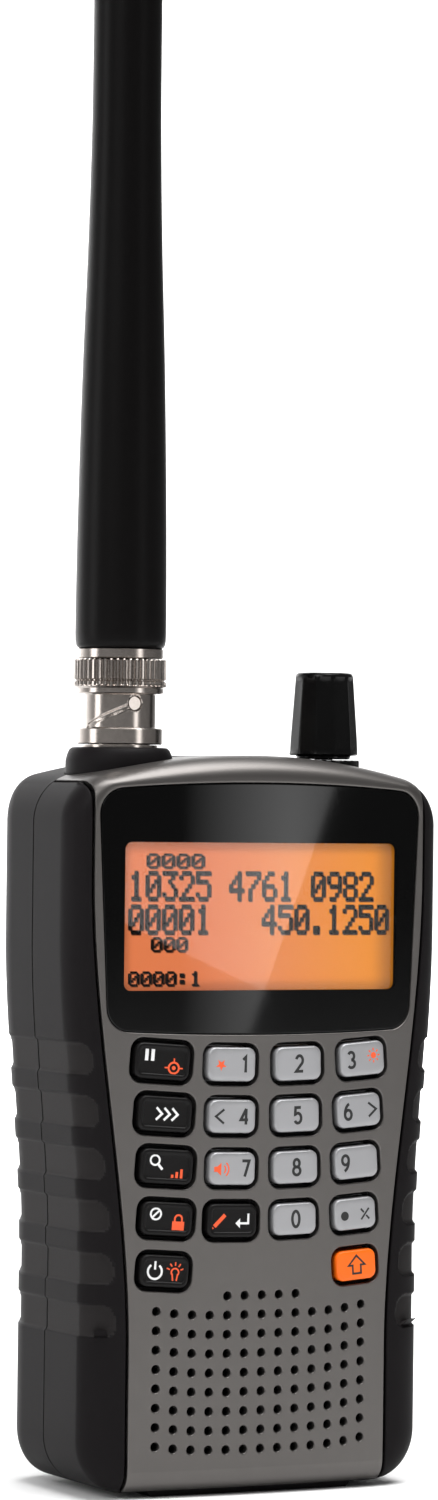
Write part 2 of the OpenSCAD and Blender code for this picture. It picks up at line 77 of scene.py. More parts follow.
# ---------------------------------------------------------------- the body's form
PANEL_LOW, _ = cad("front_panel")
CASE_LOW, CASE_HIGH = cad("rear_case")
DOOR_LOW, DOOR_HIGH = cad("battery_door")
FRONT_Y, REAR_Y = PANEL_LOW[1], CASE_HIGH[1]
BODY_H = CASE_HIGH[2]
BODY_W = CASE_HIGH[0] - CASE_LOW[0]
WAIST_W = BODY_W - 5.9
BASE_Z = 0.8
PART_Y = CASE_LOW[1]  # where the case halves meet
CROWN_R = 218
ARCH_K = 220  # the top drops by x*x/ARCH_K
TOP_R, LOW_R = 7.9, 8  # corners seen from the front
TOP_CX = BODY_W / 2 - TOP_R
TOP_TILT = math.atan(2 * (TOP_CX + 0.234 * TOP_R) / ARCH_K)
TOP_END = TOP_CX + TOP_R * math.sin(TOP_TILT)  # where the arch meets the corner
TOP_C = (TOP_CX, BODY_H - TOP_END**2 / ARCH_K - TOP_R * math.cos(TOP_TILT))
LOW_C = (WAIST_W / 2 - LOW_R, BASE_Z + LOW_R)
TOP_EDGE, LOW_EDGE = 5, 3.5  # depth of the front edge's rounding at the top and the bottom
LENS_K = 600  # the lens's upper edge drops by x*x/LENS_K
FACE_TOP = BODY_H - 3.95  # where the flat face ends in the middle
REAR_SIDE, REAR_TOP, REAR_LOW = 10, 6, 7  # rear edge's radii
REAR_CORNER = 1.5
GROOVE = 0.45  # gap between the panel and the case
LIP = 0.22
PANEL_T = 1.6
SHELL_T = 1.8
PANEL_FOOT = math.radians(24)  # how far round the bottom edge the panel reaches


def smooth(t):
    c = min(max(t, 0), 1)
    return c * c * (3 - 2 * c)


def side_x(z):
    return WAIST_W / 2 + (BODY_W - WAIST_W) / 2 * smooth((z - 36.8) / 50)


def groove_x(z):
    return 22.4 + 6.4 * smooth((z - 22.8) / 74)


def face_y(x, z):
    """The front surface, crowned across."""
    return FRONT_Y + x * x / (2 * CROWN_R)


def face_normal(x, z):
    return Vector((x / CROWN_R, -1, 0)).normalized()


def arch_z(x):
    return BODY_H - x * x / ARCH_K


def top_z(x):
    """Height of the top surface, round the corners too."""
    d = abs(x) - TOP_C[0]
    if d > TOP_R * math.sin(TOP_TILT):
        return TOP_C[1] + math.sqrt(max(TOP_R**2 - d * d, 0))
    return arch_z(x)


def on_corner(centre, rx, rz, a):
    return centre[0] + rx * math.cos(a), centre[1] + rz * math.sin(a)


def lines(s):
    """Down the right half, s = 0 at the top's middle, 1 and 2 the top corner's ends, 3 and 4 the
    lower corner's, 5 the base's middle. Gives the widest outline, where the front face ends, where
    the rear face ends, and the depths of the front and rear edges there."""
    k = min(int(s), 4)
    t = s - k
    top_a, low_a = (math.pi / 2 - TOP_TILT) * (1 - t), -math.pi / 2 * t
    front_rx = groove_x(TOP_C[1]) - TOP_C[0]
    front_end = TOP_C[0] + front_rx * math.sin(TOP_TILT)
    front_rz = (FACE_TOP - front_end**2 / LENS_K - TOP_C[1]) / math.cos(TOP_TILT)
    rear_top = (BODY_W / 2 - REAR_SIDE - REAR_CORNER, arch_z(21) - REAR_TOP - REAR_CORNER)
    rear_low = (WAIST_W / 2 - REAR_SIDE - REAR_CORNER, BASE_Z + REAR_LOW + REAR_CORNER)
    if k == 0:
        outer_x = t * on_corner(TOP_C, TOP_R, TOP_R, math.pi / 2 - TOP_TILT)[0]
        front_x = t * front_end
        rear_x = t * on_corner(rear_top, REAR_CORNER, REAR_CORNER, math.pi / 2 - TOP_TILT)[0]
        return (
            (outer_x, arch_z(outer_x)),
            (front_x, FACE_TOP - front_x**2 / LENS_K),
            (rear_x, arch_z(rear_x) - REAR_TOP),
            TOP_EDGE,
            REAR_TOP,
        )
    if k == 1:
        return (
            on_corner(TOP_C, TOP_R, TOP_R, top_a),
            on_corner(TOP_C, front_rx, front_rz, top_a),
            on_corner(rear_top, REAR_CORNER, REAR_CORNER, top_a),
            TOP_EDGE,
            REAR_TOP + (REAR_SIDE - REAR_TOP) * smooth(t),
        )
    if k == 2:
        z = TOP_C[1] + (LOW_C[1] - TOP_C[1]) * t
        rear_z = rear_top[1] + (rear_low[1] - rear_top[1]) * t
        depth = 4 + smooth((z - 22.8) / 74)
        return (side_x(z), z), (groove_x(z), z), (side_x(z) - REAR_SIDE, rear_z), depth, REAR_SIDE
    if k == 3:
        return (
            on_corner(LOW_C, LOW_R, LOW_R, low_a),
            on_corner(LOW_C, groove_x(0) - LOW_C[0], LOW_R - LOW_EDGE, low_a),
            on_corner(rear_low, REAR_CORNER, REAR_CORNER, low_a),
            4 + (LOW_EDGE - 4) * smooth(t),
            REAR_SIDE + (REAR_LOW - REAR_SIDE) * smooth(t),
        )
    x = 1 - t
    return (
        (LOW_C[0] * x, BASE_Z),
        (LOW_C[0] * x, BASE_Z + LOW_EDGE),
        (rear_low[0] * x, BASE_Z + REAR_LOW),
        LOW_EDGE,
        REAR_LOW,
    )


def front_point(s, a, inset=0):
    """On the front edge's rounding: a = 0 at the wall, pi/2 on the face."""
    outer, face, _, depth, _ = lines(s)
    ox, oz = outer
    if inset:
        before, after = lines(max(s - 0.01, 0))[0], lines(min(s + 0.01, 5))[0]
        along = Vector((after[0] - before[0], after[1] - before[1])).normalized()
        ox, oz = ox + along.y * inset, oz - along.x * inset
    x = face[0] + (ox - face[0]) * math.cos(a)
    z = face[1] + (oz - face[1]) * math.cos(a)
    y = face_y(min(x, groove_x(z)), z) + inset + (depth - inset) * (1 - math.sin(a))
    return x, y, z


def rear_point(s, a):
    outer, _, face, _, depth = lines(s)
    x = face[0] + (outer[0] - face[0]) * math.cos(a)
    z = face[1] + (outer[1] - face[1]) * math.cos(a)
    return x, REAR_Y - depth * (1 - math.sin(a)), z


def solve(f, low, high):
    """Where f crosses zero, or the end nearer to zero if it doesn't."""
    if f(low) * f(high) > 0:
        return low if abs(f(low)) < abs(f(high)) else high
    for _ in range(40):
        mid = (low + high) / 2
        low, high = (low, mid) if f(low) * f(mid) <= 0 else (mid, high)
    return (low + high) / 2


def beyond_groove(s, a, grow, inset=0):
    x, _, z = front_point(s, a, inset)
    return x - groove_x(z) - grow


# ---------------------------------------------------------------- mesh building
class Solid:
    """A mesh in millimetres. Points are shared by place, and a corner can carry its own normal."""

    def __init__(self):
        self.ids, self.points, self.up = {}, [], {}
        self.faces, self.slots, self.normals = [], [], []

    def at(self, p, up=None):
        key = tuple(round(float(c), 4) + 0.0 for c in p)
        if key not in self.ids:
            self.ids[key] = len(self.points)
            self.points.append(key)
        i = self.ids[key]
        if up is not None and i not in self.up and Vector(up).length > 0.5:
            self.up[i] = Vector(up)
        return i

    def face(self, corners, slot=0, normals=None, up=None):
        ups = up or normals or [None] * len(corners)
        ids = [self.at(p, n) for p, n in zip(corners, ups)]
        keep = [k for k in range(len(ids)) if ids[k] != ids[k - 1]]
        if len({ids[k] for k in keep}) < 3 or len(keep) != len({ids[k] for k in keep}):
            return
        self.faces.append([ids[k] for k in keep])
        self.slots.append(slot)
        self.normals.append([normals[k] if normals else None for k in keep])

    def grid(self, rows, slot=0, wrap=False, own_normals=False, centre=(0, 0, 60)):
        """Quads between rows of points, all of one length, facing away from centre. wrap joins each
        row's ends. slot is a number, or an array with one for each quad. own_normals keeps the
        surface's true normals at the corners."""
        p = np.array(rows, float)
        if wrap:
            p = np.concatenate([p, p[:, :1]], 1)
        along = np.gradient(p, axis=0)
        across = np.gradient(p, axis=1)
        if wrap:
            across[:, 0] = across[:, -1] = (p[:, 1] - p[:, -2]) / 2
        n = np.cross(along, across)
        n = np.where((n * (p - np.array(centre))).sum(2, keepdims=True) < 0, -n, n)
        length = np.linalg.norm(n, axis=2, keepdims=True)
        n = np.where(length > 1e-9, n / np.maximum(length, 1e-9), 0)
        count = (p.shape[0] - 1, p.shape[1] - 1)
        for i in range(count[0]):
            for j in range(count[1]):
                quad = [(i, j), (i + 1, j), (i + 1, j + 1), (i, j + 1)]
                pts = [p[q] for q in quad]
                nor = [Vector(n[q]) for q in quad]
                which = int(slot[i][j]) if hasattr(slot, "__len__") else slot
                self.face(pts, which, nor if own_normals else None, up=nor)

    def tube(self, rows, **more):
        """Rows joined into a tube, with a cap on its first and its last."""
        self.grid(rows, wrap=True, **more)
        self.face(rows[0])
        self.face(rows[-1])

    def turned(self, profile, radial=None, count=96, centre=(0, 0)):
        """A turned form from (radius, height) pairs, closed where the radius is 0.
        radial(angle, radius, height) can change the radius."""
        rows = []
        for r, z in profile:
            row = []
            for k in range(count):
                a = 2 * math.pi * k / count
                q = radial(a, r, z) if radial and r > 0 else r
                row.append((centre[0] + q * math.cos(a), centre[1] + q * math.sin(a), z))
            rows.append(row)
        self.grid(rows, wrap=True)

    def sheet(self, loop, holes, place, normal, spacing=2.4, slot=0, extra=()):
        """Triangles over the area in loop, less the holes. place maps a flat point to space.
        extra loops stay as edges. slot is a number or a function of flat coordinates."""
        loops = [list(loop)] + [list(h) for h in holes] + [list(e) for e in extra]
        flat, edges = [], []
        for one in loops:
            start = len(flat)
            flat += one
            edges += [(start + k, start + (k + 1) % len(one)) for k in range(len(one))]
        marks = np.array(flat)
        low, high = marks.min(0), marks.max(0)
        xs = np.arange(low[0] + spacing / 2, high[0], spacing)
        ys = np.arange(low[1] + spacing / 2, high[1], spacing)
        inner = np.array([(x, y) for y in ys for x in xs]).reshape(-1, 2)
        use = inside(inner, loops[0])
        for hole in holes:
            use &= ~inside(inner, hole)
        inner = inner[use]
        near = np.array([np.min(np.hypot(*(marks - q).T)) for q in inner]) if len(inner) else []
        inner = [tuple(q) for q, d in zip(inner, near) if d > spacing * 0.45]
        points = [Vector(q) for q in flat + inner]
        out = delaunay_2d_cdt(points, edges, [], 0, 1e-7)
        found, tris = [(v.x, v.y) for v in out[0]], [list(t) for t in out[2]]
        middle = np.array([np.mean([found[i] for i in t], 0) for t in tris])
        use = inside(middle, loops[0])
        for hole in holes:
            use &= ~inside(middle, hole)
        for t, m, ok in zip(tris, middle, use):
            if ok:
                which = slot(*m) if callable(slot) else slot
                self.face([place(*found[i]) for i in t], which, [normal(*found[i]) for i in t])

    def thicken(self, back, lip=LIP, steps=3, edge_slot=None):
        """Makes the open skin a closed solid: rounded edges, walls, and back(point, up) behind."""
        use = {}
        for f, ids in enumerate(self.faces):
            for k in range(len(ids)):
                use.setdefault(frozenset((ids[k - 1], ids[k])), []).append(f)
        rim = {e: f[0] for e, f in use.items() if len(f) == 1}
        point = [Vector(p) for p in self.points]
        out = {}
        for ids in self.faces:
            known = [self.up[i] for i in ids if i in self.up]
            for i in ids:
                if i not in self.up and known:
                    self.up[i] = sum(known, Vector()).normalized()
        for edge, f in rim.items():
            a, b = tuple(edge)
            up = (self.up[a] + self.up[b]).normalized()
            side = (point[b] - point[a]).cross(up).normalized()
            middle = sum((point[i] for i in self.faces[f]), Vector()) / len(self.faces[f])
            if side.dot(middle - (point[a] + point[b]) / 2) > 0:
                side.negate()
            out.setdefault(a, []).append(side)
            out.setdefault(b, []).append(side)
        far = {i: Vector(back(point[i], self.up[i])) for i in self.up}
        skin = len(self.faces)
        rings = {}
        for i, sides in out.items():
            first, last = sides[0], sides[-1]
            side = (first + last) / max(1 + first.dot(last), 0.3)
            up = self.up[i]
            turn = [math.pi / 2 * k / steps for k in range(steps + 1)]
            ring = [
                (point[i] + side * lip * math.sin(a) - up * lip * (1 - math.cos(a)),
                 (up * math.cos(a) + side * math.sin(a)).normalized())
                for a in turn
            ]
            ring += [(far[i] + side * lip, side.normalized())]
            rings[i] = ring
        for edge, f in rim.items():
            a, b = tuple(edge)
            slot = self.slots[f] if edge_slot is None else edge_slot
            for k in range(steps + 1):
                quad = [rings[a][k], rings[a][k + 1], rings[b][k + 1], rings[b][k]]
                self.face([q[0] for q in quad], slot, [q[1] for q in quad])
            self.face([rings[a][-1][0], far[a], far[b], rings[b][-1][0]], slot)
        for f in range(skin):
            self.face([far[i] for i in reversed(self.faces[f])], self.slots[f])

    def raised(self, outlines, slot, top, below):
        """Thin plates over flat outlines. Those that share edges become one, with walls round it."""
        sides = {}
        for loop in outlines:
            self.face([top(*q) for q in loop], slot)
            self.face([below(*q) for q in reversed(loop)], slot)
            for a, b in zip(loop, loop[1:] + loop[:1]):
                ends = frozenset((round(x, 5), round(z, 5)) for x, z in (a, b))
                sides.setdefault(ends, []).append((a, b))
        for found in sides.values():
            if len(found) == 1:
                a, b = found[0]
                self.face([top(*a), below(*a), below(*b), top(*b)], slot)

    def object(self, name, materials, angle=35):
        mesh = bpy.data.meshes.new(name)
        mesh.from_pydata([Vector(p) * MM for p in self.points], [], self.faces)
        for poly, slot in zip(mesh.polygons, self.slots):
            poly.material_index = slot
        for m in materials:
            mesh.materials.append(m)
        work = bmesh.new()
        work.from_mesh(mesh)
        bmesh.ops.recalc_face_normals(work, faces=work.faces)
        work.to_mesh(mesh)
        work.free()
        mesh.shade_smooth()
        mesh.set_sharp_from_angle(angle=math.radians(angle))
        custom = [Vector()] * len(mesh.loops)
        for poly in mesh.polygons:
            own = dict(zip(self.faces[poly.index], self.normals[poly.index]))
            for k in poly.loop_indices:
                n = own.get(mesh.loops[k].vertex_index)
                if n is not None and n.length > 0.5:
                    custom[k] = n if n.dot(poly.normal) > 0 else -n
        if any(n.length > 0 for n in custom):
            mesh.normals_split_custom_set(custom)
        piece = bpy.data.objects.new(name, mesh)
        bpy.context.scene.collection.objects.link(piece)
        return piece


def inside(points, loop):
    """Which of the flat points lie inside a closed loop."""
    x, z = points[:, 0], points[:, 1]
    hit = np.zeros(len(points), bool)
    for (x0, z0), (x1, z1) in zip(loop, loop[1:] + loop[:1]):
        if z0 != z1:
            hit ^= ((z0 > z) != (z1 > z)) & (x < (x1 - x0) * (z - z0) / (z1 - z0) + x0)
    return hit


def circle(x, z, r, count):
    return [(x + r * math.cos(2 * math.pi * k / count), z + r * math.sin(2 * math.pi * k / count))
            for k in range(count)]


def rounded(w, h, r, steps=6, edge=3):
    """A rounded rectangle's outline about the origin, with points along its straight edges."""
    loop = []
    for turn, (cx, cz) in enumerate([(1, 1), (-1, 1), (-1, -1), (1, -1)]):
        for k in range(steps + 1):
            a = math.pi / 2 * (turn + k / steps)
            loop.append((cx * (w / 2 - r) + r * math.cos(a), cz * (h / 2 - r) + r * math.sin(a)))
        nx, nz = [(-1, 1), (-1, -1), (1, -1), (1, 1)][turn]
        last = loop[-1]
        end = nx * (w / 2 - r) + r * math.cos(a), nz * (h / 2 - r) + r * math.sin(a)
        loop += [tuple(np.array(last) + (np.array(end) - last) * k / edge) for k in range(1, edge)]
    return loop


def both_sides(row):
    """A row on the right half, carried on over the middle to the left."""
    return [(-x, *rest) for x, *rest in reversed(row[1:])] + list(row)


def cut(piece, cutter, angle=35):
    """Cuts the cutter's solid out of a piece."""
    tool = cutter.object("cutter", [])
    change = piece.modifiers.new("cut", "BOOLEAN")
    change.operation, change.solver, change.object = "DIFFERENCE", "EXACT", tool
    bpy.context.view_layer.update()
    mesh = bpy.data.meshes.new_from_object(piece.evaluated_get(bpy.context.evaluated_depsgraph_get()))
    piece.modifiers.clear()
    piece.data = mesh
    bpy.data.objects.remove(tool)
    mesh.shade_smooth()
    mesh.set_sharp_from_angle(angle=math.radians(angle))


def box(solid, x0, x1, y0, y1, z0, z1, r=0.0):
    """A block along Y with corners rounded by r."""
    w, h = x1 - x0, z1 - z0
    loop = rounded(w, h, max(r, 0.01), 4 if r > 0.05 else 1, 1)
    rows = [[((x0 + x1) / 2 + x, y, (z0 + z1) / 2 + z) for x, z in loop] for y in (y0, y1)]
    solid.tube(rows)


def rod(solid, a, b, r, count=48):
    """A round bar from point a to point b."""
    a, b = Vector(a), Vector(b)
    turn = (b - a).to_track_quat("Z", "Y").to_matrix()
    rows = [[end + turn @ Vector((x, y, 0)) for x, y in circle(0, 0, r, count)] for end in (a, b)]
    solid.tube(rows)


# ---------------------------------------------------------------- materials
def fill(m, node, values):
    """Sets a node's inputs: a socket is linked, and anything else is its value."""
    for key, value in values.items():
        if isinstance(value, bpy.types.NodeSocket):
            m.node_tree.links.new(value, node.inputs[key])
        else:
            node.inputs[key].default_value = value


def add_node(m, kind, values, **settings):
    """Adds a node to a material and gives its first output."""
    node = m.node_tree.nodes.new("ShaderNode" + kind)
    for key, value in settings.items():
        setattr(node, key, value)
    fill(m, node, values)
    return node.outputs[0]


def object_place(m):
    where = m.node_tree.nodes.new("ShaderNodeTexCoord")
    return where.outputs["Object"]


def shader_of(m):
    return m.node_tree.nodes["Principled BSDF"]


def material(name, colour, roughness, metallic=0.0, tint=0.12, spots=400.0, grain=0.02,
             grain_size=2500.0, specular=0.5, sheen=0.0, scratch=0.0):
    """Paint or plastic: colour mottled by tint, roughness that wanders, and a fine grain.
    spots and grain_size are noise scales per metre; scratch adds fine brushed lines."""
    m = bpy.data.materials.new(name)
    m.use_nodes = True
    place = object_place(m)
    along = add_node(m, "Mapping", {"Scale": (1, 1, scratch), "Vector": place}) if scratch else place
    cloud = add_node(m, "TexNoise", {"Scale": spots, "Detail": 4, "Vector": place})
    fine = add_node(m, "TexNoise", {"Scale": grain_size, "Detail": 3, "Vector": along})
    darker = [c * (1 - tint) for c in colour]
    lighter = [min(c * (1 + tint), 1) for c in colour]
    wander = {"Value": fine, "To Min": max(roughness - 0.05, 0.02), "To Max": min(roughness + 0.05, 1)}
    fill(m, shader_of(m), {
        "Base Color": add_node(m, "MixRGB", {0: cloud, 1: (*darker, 1), 2: (*lighter, 1)}),
        "Roughness": add_node(m, "MapRange", wander),
        "Normal": add_node(m, "Bump", {"Strength": grain, "Distance": 0.0002, "Height": fine}),
        "Metallic": metallic, "Specular IOR Level": specular, "Sheen Weight": sheen})
    return m


def glass(name):
    m = material(name, (0.9, 0.9, 0.9), 0.02, tint=0.01, grain=0.0)
    for link in list(m.node_tree.links):
        if link.to_socket.name in ("Roughness", "Normal"):
            m.node_tree.links.remove(link)
    fill(m, shader_of(m), {"Transmission Weight": 1.0, "IOR": 1.33, "Roughness": 0.01})
    return m


def backlit(name, left, right, half_w, z0, z1, strength):
    """A lit display: colour runs from left to right, and dims towards the edges with a painted shade that stands
    for the bezel's shadow.
    """
    m = material(name, (0.03, 0.015, 0.008), 0.6, specular=0.0)
    split = m.node_tree.nodes.new("ShaderNodeSeparateXYZ")
    fill(m, split, {0: object_place(m)})

    def span(axis, a, b, c, d):
        limits = {"From Min": a * MM, "From Max": b * MM, "To Min": c, "To Max": d}
        values = {"Value": split.outputs[axis], **limits}
        return add_node(m, "MapRange", values, interpolation_type="SMOOTHSTEP")

    # painted shade: the glow is darkened within this distance of the window's edges, standing for the shadow the
    # bezel casts
    edge = 2.2
    across = span("X", -half_w * 0.5, half_w, 0, 1)
    painted_bezel_shade = span("X", -half_w, -half_w + edge, 0.55, 1)
    for other in (("X", half_w, half_w - edge * 2, 0.45, 1), ("Z", z0, z0 + edge, 0.6, 1),
                  ("Z", z1, z1 - edge, 0.5, 1)):
        painted_bezel_shade = add_node(m, "Math", {0: painted_bezel_shade, 1: span(*other)}, operation="MULTIPLY")
    colour = add_node(m, "MixRGB", {0: across, 1: (*left, 1), 2: (*right, 1)})
    colour_with_painted_shade = add_node(m, "MixRGB", {0: 1, 1: colour, 2: painted_bezel_shade}, blend_type="MULTIPLY")
    fill(m, shader_of(m), {"Emission Color": colour_with_painted_shade, "Emission Strength": strength})
    return m


def srgb(*values):
    """Eight-bit display values as linear light."""
    return tuple((v / 255 / 12.92) if v <= 10 else ((v / 255 + 0.055) / 1.055) ** 2.4 for v in values)


GREY = material("panel_paint", srgb(94, 91, 89), 0.36, metallic=0.8, tint=0.04, grain=0.06, grain_size=9000)
BLACK = material("case_plastic", srgb(20, 18, 19), 0.5, tint=0.05, grain=0.12, grain_size=6000, specular=0.06)
GRIP = material("grip_plastic", srgb(34, 32, 32), 0.55, tint=0.05, grain=0.2, grain_size=5000, specular=0.07)
GLOSS = material("lens_black", srgb(3, 3, 3), 0.04, tint=0.05, grain=0.0, specular=0.25)
CLEAR = glass("lens_window")
DARK_KEY = material("key_dark", srgb(17, 16, 16), 0.34, tint=0.06, grain=0.08, grain_size=5000, specular=0.12)
SILVER_KEY = material("key_silver", srgb(150, 150, 152), 0.3, metallic=0.35, tint=0.02, grain=0.03,
                      grain_size=8000)
ORANGE_KEY = material("key_orange", srgb(240, 104, 18), 0.34, tint=0.03, grain=0.03, specular=0.25)
INK_BLACK = material("print_black", srgb(14, 14, 15), 0.5)
INK_WHITE = material("print_white", srgb(225, 225, 225), 0.5)
INK_RED = material("print_red", srgb(232, 84, 34), 0.5)
KNOB = material("knob_gloss", srgb(8, 8, 8), 0.2, tint=0.05, grain=0.0, specular=0.2)
RUBBER = material("antenna_rubber", srgb(8, 7, 7), 0.36, tint=0.06, grain=0.06, grain_size=4000,
                  specular=0.08)
LCD_INK = material("display_ink", srgb(4, 3, 2), 0.9, specular=0.0)
LCD_SHADE = material("display_shade", srgb(92, 48, 22), 0.9, specular=0.0)
NICKEL = material("nickel", srgb(176, 168, 162), 0.2, metallic=1, tint=0.05, grain=0.01, spots=900)
STEEL = material("steel", srgb(176, 176, 178), 0.3, metallic=1, tint=0.06, scratch=0.05)
BRASS = material("brass", srgb(205, 165, 92), 0.28, metallic=1, tint=0.06)
COPPER = material("copper", srgb(184, 120, 82), 0.35, metallic=1)
PTFE = material("ptfe", srgb(238, 238, 232), 0.45, tint=0.02)
WHITE = material("white_plastic", srgb(226, 226, 222), 0.45, tint=0.03)
MAT = material("silicone", srgb(52, 52, 54), 0.6, tint=0.05, sheen=0.2)
BOARD = material("board", srgb(28, 96, 52), 0.4, tint=0.15, spots=900)
CHIP = material("chip", srgb(26, 26, 28), 0.5)
CLOTH = material("dust_cloth", srgb(12, 12, 12), 0.9, tint=0.2, grain=0.6, grain_size=2600)
PAPER = material("cone_paper", srgb(34, 34, 34), 0.85, tint=0.15, grain=0.4)
CELL = material("cell_jacket", srgb(188, 182, 168), 0.3, metallic=0.6, tint=0.04)
POT = material("control_body", srgb(60, 72, 62), 0.5)

BY_SLOT = {
    "case_black": BLACK, "panel_grey": GREY, "lens_black": GLOSS, "lcd_amber": WHITE, "light_guide": WHITE,
    "holder_white": WHITE, "key_dark": DARK_KEY, "key_silver": SILVER_KEY, "key_orange": ORANGE_KEY,
    "mat_rubber": MAT, "board_green": BOARD, "chip_black": CHIP, "tin_plate": STEEL, "speaker_steel": STEEL,
    "cone_paper": PAPER, "grille_cloth": CLOTH, "knob_black": KNOB, "shaft_metal": STEEL, "pot_green": POT,
    "nickel": NICKEL, "brass": BRASS, "ptfe": PTFE, "antenna_rubber": RUBBER, "copper": COPPER,
    "jack_black": CHIP, "cell_jacket": CELL, "spring_steel": STEEL, "switch_white": WHITE, "screw_steel": STEEL,
}
for node in NODES.values():
    for socket in node.material_slots:
        socket.material = BY_SLOT[socket.material.name]


def finish_piece(piece, body, slot, *nodes):
    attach(piece, body)
    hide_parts(*nodes)
    return piece


# ---------------------------------------------------------------- keypad layout
KEY_W, KEY_H, KEY_R, WELL = 8.2, 5.3, 1.3, 0.7
KEY_PX, KEY_PZ, KEY_Z, SMILE_R, KEY_UP = 11.65, 8.09, 67, 240, 0.42
ROW_SPAN = (1, 0.97, 0.95, 0.942, 0.96)  # the columns draw in with the panel
ROW_SIZE = (1, 0.98, 0.965, 0.935, 0.89)  # and the caps get smaller
KEYS = [
    ["hold", "scan", "search", "lockout", "power"],
    ["1", "4", "7", "program"],
    ["2", "5", "8", "0"],
    ["3", "6", "9", "clear", "function"],
]


def key_place(col, row):
    """A key's middle and tilt: each row follows an arc."""
    x = (col - 1.5) * KEY_PX * ROW_SPAN[row]
    return x, KEY_Z - row * KEY_PZ + SMILE_R - math.sqrt(SMILE_R**2 - x * x), math.asin(x / SMILE_R)


def at_key(col, row, points):
    x, z, a = key_place(col, row)
    c, s = math.cos(a), math.sin(a)
    return [(x + u * c - v * s, z + u * s + v * c) for u, v in points]


def is_dark(col, row):
    return col == 0 or (col == 1 and row == 3)


def cap_size(col, row):
    """The dark caps are a little larger than the light ones."""
    extra = (0.9, 0.3) if is_dark(col, row) else (0, 0)
    return ROW_SIZE[row] * (KEY_W + extra[0]), ROW_SIZE[row] * (KEY_H + extra[1])


def well(col, row, grow):
    w, h = cap_size(col, row)
    grow += WELL
    return at_key(col, row, rounded(w + 2 * grow, h + 2 * grow, KEY_R + grow, 6, 3))


def each_key():
    return [(c, r, name) for c, column in enumerate(KEYS) for r, name in enumerate(column)]


LENS_LOW, LENS_HIGH = cad("display_lens")
LENS_HW, LENS_Z0, LENS_Z1 = LENS_HIGH[0], LENS_LOW[2], LENS_HIGH[2]
LENS_BACK = LENS_HIGH[1]
LENS_SINK = 0.2
LENS_SAG = 0.00096  # the lens's lower edge rises by LENS_SAG * x * x


def lens_loop(grow):
    low_r, high_r = 3.8, 4
    low_x, high_x = LENS_HW - 1.4 - low_r, LENS_HW - high_r
    low_z = LENS_Z0 + LENS_SAG * low_x**2 + low_r
    high_z = LENS_Z1 - high_x**2 / LENS_K - high_r
    half = [(x, LENS_Z0 - grow + LENS_SAG * x * x) for x in range(2, 22, 2)]
    half += [(low_x + (low_r + grow) * math.cos(a), low_z + (low_r + grow) * math.sin(a))
             for a in np.radians(np.arange(-80, 1, 10))]
    half += [(p, q) for p, q in zip(np.linspace(LENS_HW - 1.4 + grow, LENS_HW + grow, 12)[1:-1],
                                    np.linspace(low_z, high_z, 12)[1:-1])]
    half += [(high_x + (high_r + grow) * math.cos(a), high_z + (high_r + grow) * math.sin(a))
             for a in np.radians(np.arange(0, 81, 10))]
    half += [(x, LENS_Z1 + grow - x * x / LENS_K) for x in range(22, 0, -2)]
    return [(0, LENS_Z0 - grow), *half, (0, LENS_Z1 + grow), *[(-x, z) for x, z in reversed(half)]]


def grille(grow):
    pitch, r, top_row = 2.986, 0.675, 31.1
    holes = []
    for row in range(9):
        for i in range(-6, 7):
            if row or abs(i) <= 2:
                x = i * pitch
                z = top_row - row * pitch + 0.93 * (abs(x) / 18) ** 3.5
                holes.append(circle(x, z, r + grow, 16))
    return holes


# ---------------------------------------------------------------- controls' places
BOSS_LOW, BOSS_HIGH = cad("antenna_boss")
RING_LOW, RING_HIGH = cad("squelch_ring")
ANT = ((BOSS_LOW[0] + BOSS_HIGH[0]) / 2, (BOSS_LOW[1] + BOSS_HIGH[1]) / 2)
DIAL = ((RING_LOW[0] + RING_HIGH[0]) / 2, (RING_LOW[1] + RING_HIGH[1]) / 2)
BOSS_R, POCKET_R = 8.55, 6.15


def notch(centre, r, y, front):
    """Points round the part of a circle on one side of the line at y, from right to left."""
    a = math.asin((y - centre[1]) / r)
    stop = -math.pi - a if front else math.pi - a
    turns = [a + (stop - a) * k / 24 for k in range(25)]
    return [(centre[0] + r * math.cos(t), centre[1] + r * math.sin(t)) for t in turns]


def panel_rows(angles, s_from, corner, s_to):
    """Rows over the rounded edge, from the middle out past the corner's start to the groove."""
    rows = []
    for a in angles:
        end = solve(lambda s: beyond_groove(s, a, -LIP), *s_to)
        places = [*np.linspace(s_from, corner, 31), *np.linspace(corner, end, 13)[1:]]
        rows.append(both_sides([front_point(s, a) for s in places]))
    return rows


def build_panel():
    panel = Solid()
    quarter = [math.pi / 2 * k / 12 for k in range(12, -1, -1)]
    top = panel_rows(quarter, 0, 1, (1, 2))
    under = [PANEL_FOOT + (math.pi / 2 - PANEL_FOOT) * k / 8 for k in range(8, -1, -1)]
    low = panel_rows(under, 5, 4, (3, 4))
    panel.grid(top, own_normals=True)
    panel.grid(low, own_normals=True)
    right = [(groove_x(z) - LIP, z) for z in np.linspace(top[0][-1][2], low[0][-1][2], 60)[1:-1]]
    loop = [(x, z) for x, _, z in top[0]] + right + [(x, z) for x, _, z in reversed(low[0])]
    loop += [(-x, z) for x, z in reversed(right)]
    holes = [lens_loop(0.1 + LIP)] + grille(LIP) + [well(c, r, LIP) for c, r, _ in each_key()]
    panel.sheet(loop, holes, lambda x, z: (x, face_y(x, z), z), face_normal)
    edge = PART_Y - 0.06 - LIP
    rear = [(top[-1][-1][0], edge)] + notch(DIAL, POCKET_R + LIP, edge, True)
    rear += notch(ANT, BOSS_R + LIP, edge, True) + [(top[-1][0][0], edge)]
    over = [(x, y) for x, y, _ in top[-1]] + rear
    panel.sheet(over, [], lambda x, y: (x, y, top_z(x)), top_normal, 2.0)
    panel.thicken(lambda p, up: p - up * PANEL_T)
    return panel


def top_normal(x, y):
    d = abs(x) - TOP_C[0]
    if d > TOP_R * math.sin(TOP_TILT):
        return Vector((math.copysign(d, x), 0, math.sqrt(max(TOP_R**2 - d * d, 0)))).normalized()
    return Vector((2 * x / ARCH_K, 0, 1)).normalized()


